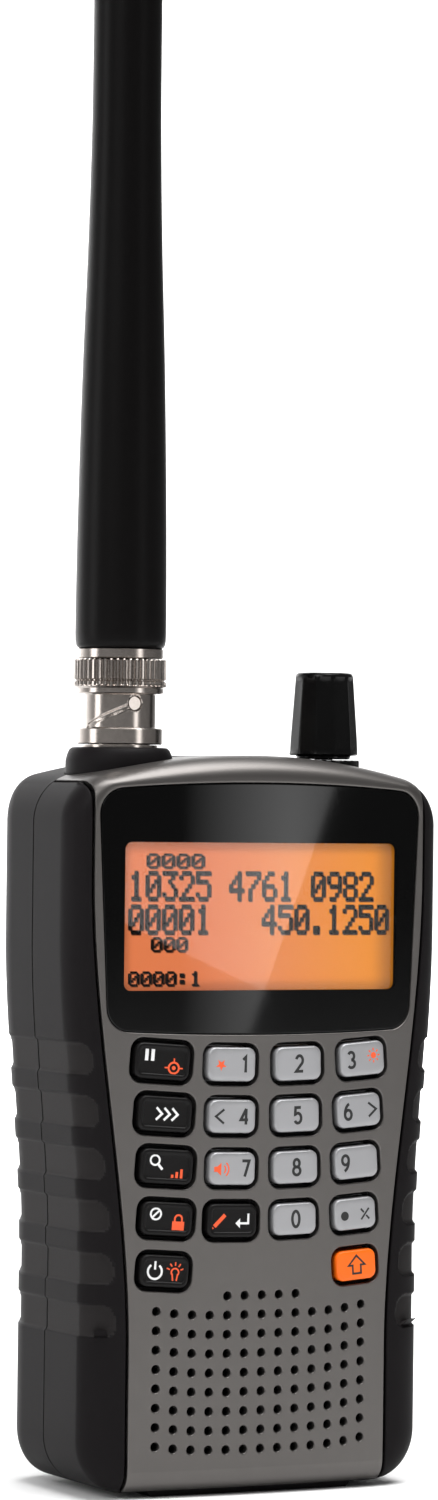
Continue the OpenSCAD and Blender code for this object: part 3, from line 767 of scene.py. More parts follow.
BAND_PITCH, BAND_LOW, BAND_H, BAND_DEPTH = 8.08, 27.7, 4.9, 0.42
BAND_FRONT, BAND_REAR = 2.1, 14.6  # from the groove, and behind the parting line


def band_depth(w, z, end):
    """How deep the grip's recess is at w past its rounded end, at height z. end is where it starts."""
    best = 9.0
    for i in range(6):
        dz = z - (BAND_LOW + i * BAND_PITCH)
        r = 2.3 if dz > 0 else 1.5
        qx, qz = (end - w) + r, abs(dz) - BAND_H / 2 + r
        d = min(max(qx, qz), 0) + math.hypot(max(qx, 0), max(qz, 0)) - r
        best = min(best, d)
    return smooth(0.5 - best / 0.34)


def pressed(columns, starts, ends, sign):
    """Presses the grip bands into columns of points that run front to rear."""
    p = np.array(columns, float)
    n = np.cross(np.gradient(p, axis=1), np.gradient(p, axis=0))
    n /= np.maximum(np.linalg.norm(n, axis=2, keepdims=True), 1e-9)
    amount = np.zeros(p.shape[:2])
    for i in range(p.shape[0]):
        if not BAND_LOW - 4 < p[i, 0, 2] < BAND_LOW + 5 * BAND_PITCH + 4:
            continue
        w = np.concatenate([[0], np.cumsum(np.linalg.norm(np.diff(p[i], axis=0), axis=1))]) + starts
        for j in range(p.shape[1]):
            along = w[j] if sign > 0 else -w[j]
            amount[i, j] = band_depth(along, p[i, j, 2], ends if sign > 0 else -ends)
    outward = np.where(n[..., :1] < 0, -n, n)
    p -= outward * (amount * BAND_DEPTH)[..., None]
    middle = (amount[:-1, :-1] + amount[1:, 1:]) / 2
    return p, (middle > 0.5).astype(int)


def side_columns():
    """Places down the right half, closest together over the grip."""
    s_top = solve(lambda s: beyond_groove(s, 0, GROOVE + LIP), 1, 2)
    z_of = lambda z: 2 + (TOP_C[1] - z) / (TOP_C[1] - LOW_C[1])
    grip = np.linspace(z_of(BAND_LOW + 5 * BAND_PITCH + 3.2), z_of(BAND_LOW - 3.2), 175)
    return np.concatenate([
        np.linspace(s_top, 2, 14)[:-1], np.linspace(2, grip[0], 22)[:-1], grip,
        np.linspace(grip[-1], 3, 14)[1:], np.linspace(3, 4, 22)[1:], np.linspace(4, 5, 14)[1:]])


CASE_FOOT = math.radians(16)
JACK_Y, JACK_R = -5.4, 3.05


def build_front_case():
    case = Solid()
    grow = GROOVE + LIP
    columns = []
    for s in side_columns():
        start = solve(lambda a: beyond_groove(s, a, grow), 0, math.pi / 2) if s < 4 else 0
        if s > 3:
            start = max(start, CASE_FOOT)
        arc = [front_point(s, start * (1 - k / 30)) for k in range(31)]
        x, y, z = arc[-1]
        stop = PART_Y - 0.05 - LIP
        columns.append(arc + [(x, y + (stop - y) * k / 16, z) for k in range(1, 17)])
    p, which = pressed(columns, grow, BAND_FRONT, 1)
    mirrored = p[::-1].copy()
    mirrored[..., 0] *= -1
    case.grid(np.concatenate([p, mirrored[1:]]), np.concatenate([which, which[::-1]]), own_normals=True)
    case.thicken(lambda q, up: q - up * SHELL_T, edge_slot=0)
    piece = case.object("front_shell", [BLACK, GRIP])
    holes = Solid()
    jack, usb = cad("headphone_jack"), cad("usb_socket")
    z = (jack[0][2] + jack[1][2]) / 2
    rod(holes, (26, JACK_Y, z), (40, JACK_Y, z), JACK_R)
    box(holes, 26, 40, usb[0][1] - 0.2, usb[1][1] + 0.2, usb[0][2] - 0.2, usb[1][2] + 0.2)
    cut(piece, holes)
    return piece


def build_foot(y0, y1):
    """A low moulded foot with sloping ends, down to the ground."""
    foot = Solid()
    top = BASE_Z + 0.9
    line = [(-17.0, 0), (-16.7, 0), (16.7, 0), (17.0, 0), (17.2, 0.15), (18.4, top),
            (-18.4, top), (-17.2, 0.15)]
    rows = [[(x, y, z) for x, z in line] for y in (y0, y1)]
    foot.tube(rows, centre=(0, 0, 0.5))
    return foot


def build_liner():
    """The deck behind the front panel, with the key openings, and the ledge under the top."""
    liner = Solid()
    inset, reach = PANEL_T + 0.25, 1.6
    rows = []
    for k in range(8, -1, -1):
        a = math.pi / 2 * k / 8
        end = solve(lambda s: beyond_groove(s, a, reach, inset), 1, 2)
        rows.append(both_sides([front_point(end * j / 30, a, inset) for j in range(31)]))
    liner.grid(rows, own_normals=True)
    top = rows[0]
    side = [(groove_x(q) + reach, q) for q in np.linspace(top[-1][2] - 0.3, BASE_Z + 4.4, 40)]
    loop = [(x, z) for x, _, z in top] + side + [(-x, z) for x, z in reversed(side)]
    holes = [lens_loop(0.12)] + [well(c, r, -WELL + 0.3) for c, r, _ in each_key()]
    holes.append([(-19.2, 7), (19.2, 7), (19.2, 29.2), (8, 29.2), (8, 32.6), (-8, 32.6), (-8, 29.2),
                  (-19.2, 29.2)])  # behind the grille

    def place(x, z):
        return x, face_y(min(abs(x), groove_x(z)), z) + inset, z

    liner.sheet(loop, holes, place, face_normal)
    liner.thicken(lambda p, up: p - up * 1.3, lip=0.05, steps=1)
    return liner


SCREWS = [(-27, 107.2), (27, 107.2), (-23.5, 14), (23.5, 14)]
SCREW_R, INSERT_R = 2.3, 2.32
INSERTS = [(-9, 92), (9, 92)]
BAY_HW, BAY_Z0, BAY_Z1 = 15.8, 5.2, cad("battery_plates")[1][2]


def rear_column(s):
    """One line from the parting plane back over the rear edge."""
    arc = [rear_point(s, math.pi / 2 * k / 26) for k in range(27)]
    x, y, z = arc[0]
    start = PART_Y + 0.05 + LIP
    return [(x, start + (y - start) * k / 18, z) for k in range(18)] + arc


def build_rear_case():
    places = side_columns()
    p, which = pressed([rear_column(s) for s in places], 0, BAND_REAR, -1)
    turns = [math.pi / 2 * k / 26 for k in range(27)]
    top = [[rear_point(s, a) for a in turns] for s in np.linspace(0, places[0], 32)[:-1]]
    mirror = lambda q: q * np.array([-1, 1, 1])
    case = Solid()
    whole = np.concatenate([p, mirror(p)[::-1][1:]])
    slots = np.concatenate([which, which[::-1]])
    case.grid(whole, slots)
    over = np.array(top)
    arch = np.concatenate([mirror(p[:1, 18:]), mirror(over)[::-1], over[1:], p[:1, 18:]])
    case.grid(arch)
    face = [tuple(q) for q in whole[:, -1]] + [tuple(q) for q in arch[1:-1, -1]]
    flat = [(x, z) for x, _, z in face]
    case.sheet(flat, [], lambda x, z: (x, REAR_Y, z), lambda x, z: Vector((0, 1, 0)), 3)
    x_end = p[0, 0, 0]
    edge = p[0, 0, 1]
    side = [tuple(q[:2]) for q in p[0, 1:19]]
    front = [(x_end, edge)] + notch(DIAL, POCKET_R + LIP, edge, False)
    front += notch(ANT, BOSS_R + LIP, edge, False) + [(-x_end, edge)]
    loop = front + [(-x, y) for x, y in side] + [(x, y) for x, y, _ in arch[1:-1, 0]]
    loop += [(x, y) for x, y in reversed(side)]
    case.sheet(loop, [], lambda x, y: (x, y, top_z(x)), top_normal, 2.0)
    case.thicken(lambda q, up: q - up * SHELL_T, edge_slot=0)
    piece = case.object("rear_shell", [BLACK, GRIP])
    holes = Solid()
    door_hw = DOOR_HIGH[0] - 0.15
    box(holes, -door_hw, door_hw, DOOR_LOW[1] - 0.1, 20, -2, DOOR_HIGH[2] + 0.25, 1.2)
    for x, z in SCREWS:
        rod(holes, (x, 8, z), (x, 20, z), SCREW_R, 32)
    for x, z in INSERTS:
        rod(holes, (x, 12, z), (x, 20, z), INSERT_R, 32)
    cut(piece, holes)
    bay = Solid()
    box(bay, -BAY_HW, BAY_HW, 10, 20, BAY_Z0, BAY_Z1, 1.0)
    cut(piece, bay)
    return piece


def build_bay():
    """The tray behind the door, and the sleeves round the screws."""
    bay = Solid()
    wall, floor_y, lip_y = 1.2, 0.2, 15.6
    outer = rounded(2 * (BAY_HW + wall), BAY_Z1 - BAY_Z0 + 2 * wall, 2, 4, 2)
    inner = rounded(2 * BAY_HW, BAY_Z1 - BAY_Z0, 1, 4, 2)
    mid_z = (BAY_Z0 + BAY_Z1) / 2
    at = lambda loop, y: [(x, y, mid_z + z) for x, z in loop]
    rows = [at(outer, floor_y), at(outer, lip_y), at(inner, lip_y), at(inner, floor_y + wall)]
    bay.tube(rows)
    for x, z in SCREWS:
        ring = lambda r, y: [(px, y, pz) for px, pz in circle(x, z, r, 32)]
        top = 13.6 if z < 50 else 13.2
        sleeve = [ring(1.2, 11.8), ring(3.0, 11.8), ring(3.0, top), ring(2.32, top), ring(2.32, 13.35),
                  ring(1.2, 13.35)]
        bay.grid(sleeve + sleeve[:1], wrap=True)
    return bay


def build_door():
    """The sliding door: rounded corners, finger ribs, and guide tongues along its sides."""
    door = Solid()
    hw, z1 = DOOR_HIGH[0] - 0.4, DOOR_HIGH[2]
    z0 = DOOR_LOW[2] + 0.4
    lip = 0.35
    mid = (z0 + z1) / 2
    loop = [(x, mid + z) for x, z in rounded(2 * (hw - lip), z1 - z0 - 2 * lip, 1.0, 5, 8)]
    ribs = [z1 - 9 - 1.6 * k for k in range(6)]
    rib_hw, rib_hh = 9, 0.55

    def lean_in(x, z):
        return REAR_Y - 0.05 - max(9.0 - z, 0) ** 2 * 0.05

    def place(x, z):
        y = lean_in(x, z)
        if abs(x) < rib_hw:
            y -= 0.45 * max(max(1 - ((z - r) / rib_hh) ** 2 for r in ribs), 0)
        return x, y, z

    marks = [[(-rib_hw, r - h), (rib_hw, r - h), (rib_hw, r + h), (-rib_hw, r + h)]
             for h in (rib_hh, 0.2) for r in ribs]
    door.sheet(loop, [], place, lambda x, z: Vector((0, 1, 0)), 3.0, extra=marks)
    door.normals = [[None] * len(f) for f in door.faces]
    door.thicken(lambda q, up: Vector((q.x, DOOR_LOW[1], q.z)), lip=lip, steps=3)
    for s in (-1, 1):
        box(door, s * 18.4 - 0.6, s * 18.4 + 0.6, 15.9, 16.5, 9, 64, 0.3)
    return door


# ---------------------------------------------------------------- display
WINDOW_HW, WINDOW_Z0, WINDOW_Z1 = 23.8, 78.5, 101.5
LCD_LOW, LCD_HIGH = cad("lcd_glass")
DIGITS = {
    "0": "0E11131519110E", "1": "040C040404040E", "2": "0E11010204081F", "3": "1F02040201110E",
    "4": "02060A121F0202", "5": "1F101E0101110E", "6": "0608101E11110E", "7": "1F010204080808",
    "8": "0E11110E11110E", "9": "0E11110F01020C", ".": "00000000000C0C", ":": "000C0C000C0C00",
    "-": "0000001F000000", " ": "00000000000000",
}


def build_lens():
    lens = Solid()
    window = [(x, (WINDOW_Z0 + WINDOW_Z1) / 2 + z)
              for x, z in rounded(2 * WINDOW_HW, WINDOW_Z1 - WINDOW_Z0, 1.1, 6, 10)]

    def which(x, z):
        return int(inside(np.array([[x, z]]), window)[0])

    place = lambda x, z: (x, face_y(x, z) + LENS_SINK, z)
    lens.sheet(lens_loop(-LIP), [], place, face_normal, 3.0, which, [window])
    lens.thicken(lambda p, up: Vector((p.x, LENS_BACK, p.z)), edge_slot=0)
    return lens


def build_lcd():
    lcd = Solid()
    y = LCD_LOW[1]
    loop = [(x, (LCD_LOW[2] + LCD_HIGH[2]) / 2 + z)
            for x, z in rounded(LCD_HIGH[0] * 2 - 0.4, LCD_HIGH[2] - LCD_LOW[2] - 0.4, 0.5, 3, 4)]
    lcd.sheet(loop, [], lambda x, z: (x, y, z), lambda x, z: Vector((0, -1, 0)), 6)
    lcd.thicken(lambda p, up: Vector((p.x, LCD_HIGH[1], p.z)), lip=0.15)
    return lcd


DISPLAY_LINES = [  # text, left edge, drop of its top below the window's, dot width and height
    ("10325 4761 0982", 1.1, 4.45, 0.49, 0.665), ("00001   450.1250", 1.1, 9.65, 0.49, 0.665),
    ("0000", 4.1, 1.75, 0.435, 0.33), ("000", 5.0, 14.7, 0.37, 0.33), ("0000:1", 1.2, 20.0, 0.36, 0.33)]
DOT_PITCH = 5.85  # characters are this many dots apart


def build_marks(shift, y):
    """The display's dots: two lines of large digits and three groups of small ones."""
    marks = Solid()
    for text, left, drop, w, h in DISPLAY_LINES:
        for k, c in enumerate(text):
            cells = set()  # thirds of a dot, drawn a third wider than the dot
            for row, bits in enumerate(bytes.fromhex(DIGITS[c])):
                cells |= {(3 * col + i, row) for col in range(5) if bits & (16 >> col) for i in range(4)}
            x0 = -WINDOW_HW + left + k * DOT_PITCH * w + shift
            z0 = WINDOW_Z1 - drop - shift
            quads = [[(x0 + a * w / 3, z0 - b * h)
                      for a, b in ((i, j), (i + 1, j), (i + 1, j + 1), (i, j + 1))] for i, j in sorted(cells)]
            marks.raised(quads, 0, lambda x, z: (x, y, z), lambda x, z: (x, y + 0.012, z))
    return marks


# ---------------------------------------------------------------- keys
def ribbon(points, width, closed=False):
    """A line drawn with a pen, as one outline per straight or curved stretch."""
    p = [Vector(q) for q in points]
    count = len(p)
    left, right = [], []
    for k in range(count):
        before = p[k - 1] if k or closed else p[k]
        after = p[(k + 1) % count] if k < count - 1 or closed else p[k]
        a, b = (p[k] - before), (after - p[k])
        a = a.normalized() if a.length else b.normalized()
        b = b.normalized() if b.length else a
        n = Vector((-(a + b).y, (a + b).x)).normalized()
        n *= width / 2 / max(n.dot(Vector((-a.y, a.x))), 0.45)
        left.append(tuple(p[k] + n))
        right.append(tuple(p[k] - n))
    spans = range(count if closed else count - 1)
    return [[left[k], left[(k + 1) % count], right[(k + 1) % count], right[k]] for k in spans]


def bow(x, y, rx, ry, a0, a1, count=18):
    """Part of an ellipse; a whole one leaves its last point out."""
    steps = count if abs(a1 - a0) == 360 else count + 1
    return [(x + rx * math.cos(math.radians(a0 + (a1 - a0) * k / count)),
             y + ry * math.sin(math.radians(a0 + (a1 - a0) * k / count))) for k in range(steps)]


def arc(x, y, r, a0, a1, count=20):
    return bow(x, y, r, r, a0, a1, count)


STROKES = {  # in a box from -0.5 to 0.5 each way
    "0": [bow(0, 0, 0.5, 0.5, 0, 360, 28)],
    "1": [[(-0.3, 0.3), (0.08, 0.5), (0.08, -0.5)]],
    "2": [bow(0, 0.2, 0.46, 0.3, 165, -38) + [(-0.5, -0.5), (0.5, -0.5)]],
    "3": [bow(-0.04, 0.25, 0.44, 0.25, 150, -90, 14), bow(-0.04, -0.25, 0.5, 0.25, 90, -150, 14)],
    "4": [[(0.22, 0.5), (0.22, -0.5)], [(0.22, 0.5), (-0.5, -0.2), (0.5, -0.2)]],
    "5": [[(0.42, 0.5), (-0.34, 0.5), (-0.4, 0.06)] + bow(-0.03, -0.18, 0.48, 0.32, 128, -150)],
    "6": [bow(0, -0.2, 0.48, 0.3, 0, 360, 24), bow(0.45, -0.2, 0.93, 0.72, 178, 106, 10)],
    "7": [[(-0.5, 0.5), (0.46, 0.5), (-0.12, -0.5)]],
    "8": [bow(0, 0.25, 0.4, 0.25, 0, 360, 22), bow(0, -0.24, 0.5, 0.26, 0, 360, 24)],
    "9": [bow(0, 0.2, 0.48, 0.3, 0, 360, 24), bow(-0.45, 0.2, 0.93, 0.72, -2, -74, 10)],
}


def glyph(text, x, y, height):
    """A digit's outlines, bold and narrow, centred on x, y: one list for each stroke."""
    pen, width = 0.46, 1.7
    return [ribbon([(x + a * (width - pen), y + b * (height - pen)) for a, b in line], pen,
                   closed=text in "0689" and k < 1 + (text == "8"))
            for k, line in enumerate(STROKES[text])]


def star(x, y, r, points, depth):
    return [[(x + (r if k % 2 else r * depth) * math.cos(math.pi * (k / points + 0.5)),
              y + (r if k % 2 else r * depth) * math.sin(math.pi * (k / points + 0.5))) for k in range(2 * points)]]


def rays(x, y, r0, r1, count, width, a0=0, a1=360):
    out = []
    for k in range(count):
        a = math.radians(a0 + (a1 - a0) * k / (count if a1 - a0 == 360 else count - 1))
        d = Vector((math.cos(a), math.sin(a)))
        out += ribbon([Vector((x, y)) + d * r0, Vector((x, y)) + d * r1], width)
    return out


PEN = 0.3
NEARLY_ROUND = 342  # an arc that its closing edge completes


def hoop(x, y, r):
    return ribbon(arc(x, y, r, 0, NEARLY_ROUND), PEN, True)


def disc(x, y, r, count=19):
    return [arc(x, y, r, 0, NEARLY_ROUND, count)]


def bar(a, b, width=PEN):
    return ribbon([a, b], width)


BULB = [(1.45, -1.4), (1.3, -0.4)] + arc(1.75, -0.1, 0.62, 205, -25, 14) + [(2.2, -0.4), (2.05, -1.4)]
SHACKLE = [(1.3, -0.3), (1.3, 0.1)] + arc(1.9, 0.1, 0.6, 180, 0, 10)[1:] + [(2.5, -0.3)]
HORN = [(-3.2, -0.5), (-2.7, -0.5), (-2.0, -1.1), (-2.0, 0.9), (-2.7, 0.3), (-3.2, 0.3)]
ARROW = [(0, 1.5), (-1.5, 0), (-0.75, 0), (-0.75, -1.3), (0.75, -1.3), (0.75, 0), (1.5, 0)]
DIGIT_X = {"1": 2.2, "4": 2.0, "7": 2.2, "3": -2.1, "6": -2.1, "9": -2.1}
DIGIT_H = 2.9
SYMBOLS = {  # what is printed on each key besides its digit: ink and outlines
    "hold": [(1, bar((-2.7, 0), (-2.7, 1.8), 0.55) + bar((-1.7, 0), (-1.7, 1.8), 0.55)),
             (2, hoop(1.9, -0.9, 0.85) + rays(1.9, -0.9, 1.0, 1.5, 4, 0.22) + disc(1.9, -0.9, 0.32, 14))],
    "scan": [(1, ribbon([(x, 0.95), (x + 0.95, 0), (x, -0.95)], 0.36)) for x in (-1.5, -0.2, 1.1)],
    "search": [(1, hoop(-2.0, 0.9, 0.75) + bar((-1.4, 0.25), (-0.7, -0.5), 0.4))]
    + [(2, bar((x, -1.7), (x, -1.7 + h), 0.42)) for x, h in ((1.0, 0.5), (1.75, 0.95), (2.5, 1.4))],
    "lockout": [(1, hoop(-1.9, 0.7, 0.85) + bar((-2.4, 0.2), (-1.4, 1.2))),
                (2, [[(0.9, -1.7), (2.9, -1.7), (2.9, -0.3), (0.9, -0.3)]] + ribbon(SHACKLE, 0.28))],
    "power": [(1, ribbon(arc(-1.6, -0.1, 1.15, 125, 415, 26), 0.34) + bar((-1.6, 0.2), (-1.6, 1.5), 0.34)),
              (2, ribbon(BULB, 0.24) + rays(1.75, 0, 0.95, 1.5, 5, 0.22, 20, 160))],
    "program": [(1, ribbon([(2.8, 1.1), (2.8, -0.4), (1.1, -0.4)], 0.34)
                 + [[(0.6, -0.4), (1.4, 0.35), (1.4, -1.15)]]),
                (2, bar((-3.0, -0.9), (-1.2, 0.9), 0.6) + [[(-3.5, -1.4), (-3.05, -1.2), (-3.3, -0.95)]])],
    "function": [(1, ribbon(ARROW, 0.32, True))],
    "clear": [(1, disc(-2.0, -0.2, 0.72)),
              (1, bar((1.0, -1.0), (2.5, 0.7)) + bar((2.5, -1.0), (1.95, -0.38)) + bar((1.55, 0.08), (1.0, 0.7)))],
    "1": [(2, star(-1.9, -0.1, 0.95, 5, 0.42))],
    "3": [(2, disc(2.0, 0.4, 0.5) + rays(2.0, 0.4, 0.75, 1.15, 8, 0.22))],
    "7": [(2, [HORN] + ribbon(arc(-2.0, -0.1, 0.75, -50, 50, 8), 0.22)
           + ribbon(arc(-2.0, -0.1, 1.3, -50, 50, 8), 0.22))],
    "4": [(1, ribbon([(-1.5, 1.1), (-2.9, 0), (-1.5, -1.1)], 0.36))],
    "6": [(1, ribbon([(1.7, 1.1), (3.1, 0), (1.7, -1.1)], 0.36))],
}


def key_print(name):
    """What is printed on a key: a list of (ink, outlines). Ink 1 is the digit's, 2 the accent's."""
    digit = glyph(name, DIGIT_X.get(name, 0.1), 0, DIGIT_H) if name.isdigit() else []
    return [(1, stroke) for stroke in digit] + SYMBOLS.get(name, [])


def build_key(col, row, name):
    """A moulded cap: rounded top edge, raised rim on the dark keys, wide flange below."""
    key = Solid()
    dark = is_dark(col, row)
    width, height_ = cap_size(col, row)

    def ring(grow, height):
        loop = at_key(col, row, rounded(width + 2 * grow, height_ + 2 * grow, KEY_R + grow, 7, 4))
        return [(x, face_y(x, z) - KEY_UP + height, z) for x, z in loop]

    def flange(w, h, r, y):
        return [(x, y, z) for x, z in at_key(col, row, rounded(w, h, r, 7, 4))]

    back = cad("key_" + name)[1][1]
    rows = [flange(5, 3.4, 1, back), flange(5, 3.4, 1, back - 1.15), flange(10.4, 7.2, 1.6, back - 1.15),
            flange(10.4, 7.2, 1.6, back - 1.9), flange(width, height_, KEY_R, back - 1.95)]
    rows += [ring(0, 1.2), ring(0, 0.5), ring(-0.04, 0.3), ring(-0.13, 0.14), ring(-0.28, 0.04),
             ring(-0.46, 0)]
    if dark:
        rows += [ring(-0.66, 0.02), ring(-0.78, 0.12), ring(-0.86, 0.2), ring(-1.1, 0.22)]
    mid_x, mid_z, _ = key_place(col, row)
    sink = 0.22 if dark else 0.0
    last = [(x - mid_x, z - mid_z) for x, _, z in rows[-1]]

    def at_face(x, z, proud=0.0):
        return x, face_y(x, z) - KEY_UP + sink - proud, z

    rows += [[at_face(mid_x + u * f, mid_z + v * f) for u, v in last] for f in (0.75, 0.5, 0.25, 0)]
    key.grid(rows, wrap=True, centre=(mid_x, back, mid_z))
    key.face(rows[0])
    for ink, outlines in key_print(name):
        placed = [at_key(col, row, outline) for outline in outlines]
        key.raised(placed, ink, lambda x, z: at_face(x, z, 0.012), lambda x, z: at_face(x, z, -0.01))
    cap = DARK_KEY if dark else ORANGE_KEY if name == "function" else SILVER_KEY
    return key.object("keycap_" + name, [cap, INK_WHITE if dark else INK_BLACK, INK_RED], 40)


# ---------------------------------------------------------------- turned pieces
def bevelled(profile, cut_by=0.15):
    """Takes the corners off a turned profile."""
    out = []
    for k, (r, z) in enumerate(profile):
        if 0 < k < len(profile) - 1:
            here = Vector((r, z))
            for other in (profile[k - 1], profile[k + 1]):
                d = Vector(other) - here
                out.append(tuple(here + d.normalized() * min(cut_by, d.length / 2.5)))
        else:
            out.append((r, z))
    return out


def dense(profile, step):
    out = [profile[0]]
    for a, b in zip(profile, profile[1:]):
        n = max(int(math.hypot(b[0] - a[0], b[1] - a[1]) / step), 1)
        out += [(a[0] + (b[0] - a[0]) * k / n, a[1] + (b[1] - a[1]) * k / n) for k in range(1, n + 1)]
    return out


KNOB_LOW, KNOB_HIGH = cad("volume_knob")
COUPLING_LOW, COUPLING_HIGH = cad("coupling_ring")
SLEEVE_LOW, SLEEVE_HIGH = cad("antenna_sleeve")
PLUG_LOW, PLUG_HIGH = cad("plug_body")


def build_knob():
    knob = Solid()
    z0, z1 = KNOB_LOW[2], KNOB_HIGH[2]
    profile = bevelled([(0, z0), (4.3, z0), (4.3, z0 + 0.6), (5.5, z0 + 0.6), (5.4, z0 + 3),
                        (4.65, z1 - 0.45), (4.3, z1), (3.3, z1 - 0.05), (3.0, z1 - 0.3), (0, z1 - 0.3)], 0.2)

    def flute(a, r, z):
        reach = smooth((z - z0 - 0.7) / 0.6) * smooth((z1 - 0.45 - z) / 0.8)
        turn = (a / (2 * math.pi) * 11) % 1
        return r - 0.24 * reach * math.sin(math.pi * turn) ** 0.7 * (r > 4)

    knob.turned(dense(profile, 0.5), flute, 144, centre=DIAL)
    return knob


def build_squelch():
    ring = Solid()
    z0, z1 = RING_LOW[2], RING_HIGH[2]
    profile = bevelled([(3.05, z0), (5.75, z0), (5.75, z1), (5.0, z1), (4.8, z1 - 0.15), (3.05, z1 - 0.15),
                        (3.05, z0)])

    def ridge(a, r, z):
        return r - 0.3 * max(math.sin(24 * a), 0) ** 2 if r > 5.4 else r

    ring.turned(dense(profile, 0.4), ridge, 192, centre=DIAL)
    return ring


def build_boss():
    boss = Solid()
    z0, z1 = BOSS_LOW[2], BOSS_HIGH[2]
    profile = [(4.85, z0), (8.5, z0), (8.45, z1 - 2), (8.2, z1 - 1.1), (7.9, z1 - 0.4), (7.5, z1 - 0.05),
               (7.2, z1), (4.85, z1), (4.85, z0)]
    boss.turned(dense(profile, 0.6), None, 96, centre=ANT)
    return boss


STUD_Z = 123.05


def build_coupling():
    """The knurled ring: ridges round the top, slots that climb to the two stud holes."""
    ring = Solid()
    z0, z1 = COUPLING_LOW[2], COUPLING_HIGH[2]
    grip_z = z0 + 8.9
    profile = bevelled([(4.95, z0), (6.7, z0), (6.7, z0 + 2.5), (5.6, z0 + 2.5), (5.6, z0 + 7.9), (6.8, z0 + 7.9),
                        (6.8, grip_z), (7.25, grip_z), (7.25, z1), (4.95, z1), (4.95, z0)], 0.16)

    def shape(a, r, z):
        if r > 7.0:
            ridge = abs((a / (2 * math.pi) * 44) % 1 - 0.5) * 2
            band = 0.35 if abs(z - grip_z - 1.1) < 0.14 else 0
            return r - 0.42 * smooth(1.6 * ridge - 0.4) * smooth((z - grip_z - 0.15) / 0.2) - band
        if 5.5 < r < 5.7:
            turn = (a + math.pi / 2) / math.pi % 1  # 0 at each stud hole
            turn = (turn - 1 if turn > 0.5 else turn) * math.pi * 5.6
            hole = math.hypot(turn, z - STUD_Z)
            if hole < 1.25:
                return r - 0.5 * smooth((1.25 - hole) / 0.15)
            slope = STUD_Z + 0.42 * turn
            if -9 < turn < 0 and abs(z - slope) < 0.4:
                return r - 0.16 * smooth((0.4 - abs(z - slope)) / 0.15)
        return r

    ring.turned(dense(profile, 0.14), shape, 352, centre=ANT)
    return ring


def build_plug():
    plug = Solid()
    z0, z1 = PLUG_LOW[2], PLUG_HIGH[2]
    profile = bevelled([(3.5, z0), (4.08, z0), (4.08, z1 - 4.5), (4.35, z1 - 4.5), (4.35, z1 - 1.55),
                        (6.7, z1 - 1.55), (6.7, z1 - 0.02), (3.5, z1 - 0.02), (3.5, z0)], 0.12)
    plug.turned(profile, None, 96, centre=ANT)
    return plug


def build_antenna():
    """The tapered rubber sleeve, with a rounded foot and tip."""
    rubber = Solid()
    z0, z1 = SLEEVE_LOW[2], SLEEVE_HIGH[2]
    marks = [(0, 6.45), (0.25, 6.8), (0.6, 7.0), (1.2, 7.1), (2.5, 7.15), (6, 7.15), (19.6, 7.0), (33.4, 6.75),
             (47.2, 6.4), (61, 5.9), (72.8, 5.6), (84.5, 5.4), (z1 - z0 - 3, 5.3)]
    fine = []
    for z in [0, 0.25, 0.6, 1.2] + list(np.linspace(2.5, z1 - z0 - 3, 70)):
        fine.append((float(np.interp(z, [m[0] for m in marks], [m[1] for m in marks])), z0 + z))
    radius = [r for r, _ in fine]
    smoothed = fine[:4] + [((radius[max(k - 2, 4)] + radius[k] * 2 + radius[min(k + 2, len(fine) - 1)]) / 4,
                            fine[k][1]) for k in range(4, len(fine))]
    tip = [(5.3 * math.cos(a) ** 0.7, z1 - 3 + 3 * math.sin(a)) for a in np.radians(np.arange(12, 90, 12))]
    rubber.turned([(0, z0)] + smoothed + tip + [(0, z1)], None, 72, centre=ANT)
    return rubber


# ---------------------------------------------------------------- putting it together
def add(name, solid, look, body, slot, *nodes, angle=35):
    """Makes a solid the piece that stands for the nodes."""
    finish_piece(solid.object(name, [look], angle), body, slot, *nodes)


PLASTIC = (BLACK, "case", "case_black")
INK_Y, SHADE_Y, SHADE_SHIFT = LCD_LOW[1] - 0.035, LCD_LOW[1] - 0.018, 0.17
LIT = backlit("display_lit", srgb(234, 128, 78), srgb(246, 148, 26), WINDOW_HW, WINDOW_Z0, WINDOW_Z1, 1.0)
add("panel", build_panel(), GREY, "case", "panel_grey", "front_panel")
finish_piece(build_front_case(), "case", "case_black", "front_case")
add("deck", build_liner(), *PLASTIC, "front_case")
add("front_foot", build_foot(FRONT_Y + 3.7, PART_Y - 0.05), *PLASTIC, "front_case")
add("rear_foot", build_foot(PART_Y + 0.05, 9.5), *PLASTIC, "rear_case")
finish_piece(build_rear_case(), "case", "case_black", "rear_case")
add("bay", build_bay(), *PLASTIC, "rear_case")
add("door", build_door(), BLACK, "battery_door", "case_black", "battery_door", angle=30)
finish_piece(build_lens().object("lens", [GLOSS, CLEAR]), "case", "lens_black", "display_lens")
add("display", build_lcd(), LIT, "case", "lcd_amber", "lcd_glass")
add("display_digits", build_marks(0, INK_Y), LCD_INK, "case", "lcd_amber")
add("display_shadow", build_marks(SHADE_SHIFT, SHADE_Y), LCD_SHADE, "case", "lcd_amber")
for col, row, name in each_key():
    slot = "key_dark" if is_dark(col, row) else "key_orange" if name == "function" else "key_silver"
    finish_piece(build_key(col, row, name), "key_" + name, slot, "key_" + name)
add("knob", build_knob(), KNOB, "volume", "knob_black", "volume_knob", angle=25)
add("dial", build_squelch(), KNOB, "squelch", "knob_black", "squelch_ring", angle=30)
add("boss", build_boss(), *PLASTIC, "antenna_boss", angle=40)
add("coupling", build_coupling(), NICKEL, "coupling", "nickel", "coupling_ring", angle=30)
add("plug", build_plug(), NICKEL, "antenna", "nickel", "plug_body", angle=30)
add("sleeve", build_antenna(), RUBBER, "antenna", "antenna_rubber", "antenna_sleeve", angle=40)


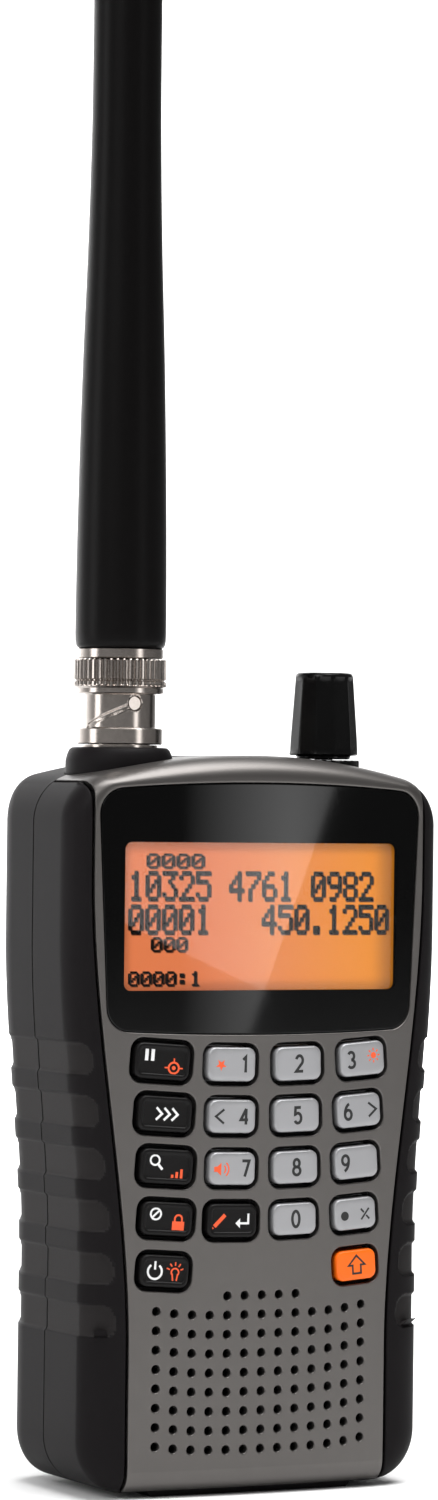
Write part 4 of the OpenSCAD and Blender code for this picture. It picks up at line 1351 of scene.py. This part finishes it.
# ---------------------------------------------------------------- stage, lights, camera
def build_stage():
    """A pale floor that curves up into a backdrop."""
    ground = Solid()
    back, bend, wall = 2600, 700, 3000
    line = [(-3000, 0)] + [(-3000 + 700 * k, 0) for k in range(1, 9)]
    line += [(back + bend * math.sin(a), bend * (1 - math.cos(a))) for a in np.radians(np.arange(0, 91, 9))]
    line += [(back + bend, wall)]
    ground.grid([[(x, y, z) for x in np.linspace(-6000, 6000, 13)] for y, z in line])
    pale = material("pale", (0.9, 0.9, 0.9), 0.9, tint=0.01, grain=0.0, specular=0.1)
    return ground.object("stage", [pale])


build_stage()


def area_light(name, place, target, width, height, power, spin=0, spread=180):
    data = bpy.data.lights.new(name, "AREA")
    data.shape, data.size, data.size_y = "RECTANGLE", width * MM, height * MM
    data.energy = power
    data.spread = math.radians(spread)
    lamp = bpy.data.objects.new(name, data)
    lamp.visible_camera = False
    aim = (Vector(target) - Vector(place)).to_track_quat("-Z", "Y")
    lamp.matrix_world = (Matrix.Translation(Vector(place) * MM) @ aim.to_matrix().to_4x4()
                         @ Matrix.Rotation(math.radians(spin), 4, "Z"))
    bpy.context.scene.collection.objects.link(lamp)
    return lamp


MIDDLE = (0, 0, 70)
area_light("key", (-1000, -700, 900), MIDDLE, 700, 700, 7)
area_light("side", (-1200, 250, 250), MIDDLE, 400, 900, 4)
area_light("glare", (421, -932, 244), (-76, -64, 267), 700, 400, 0.05, 27.6, 22)
area_light("top", (100, -150, 1200), MIDDLE, 1000, 900, 26)
area_light("backdrop", (0, 900, 1300), (0, 3300, 500), 2600, 900, 160)

world = bpy.data.worlds.new("studio")
bpy.context.scene.world = world
world.use_nodes = True
world.node_tree.nodes["Background"].inputs["Color"].default_value = (1, 1, 1, 1)
world.node_tree.nodes["Background"].inputs["Strength"].default_value = 0.16
bpy.context.scene.view_settings.view_transform = "Standard"

YAW, PITCH, ROLL = 26.68, -0.47, 0.68
CAMERA_AT = Vector((-373.9, -744.1, 109.2)) * MM
LENS_MM = 125.8
turn = (Matrix.Rotation(math.radians(ROLL), 3, "Y") @ Matrix.Rotation(math.radians(PITCH), 3, "X")
        @ Matrix.Rotation(math.radians(YAW), 3, "Z"))
right, ahead, up = (turn.transposed() @ Vector(v) for v in ((1, 0, 0), (0, 1, 0), (0, 0, 1)))
camera_data = bpy.data.cameras.new("camera")
camera_data.lens = LENS_MM
camera = bpy.data.objects.new("camera", camera_data)
camera.matrix_world = Matrix.Translation(CAMERA_AT) @ Matrix((right, up, -ahead)).transposed().to_4x4()
bpy.context.scene.collection.objects.link(camera)
bpy.context.scene.camera = camera
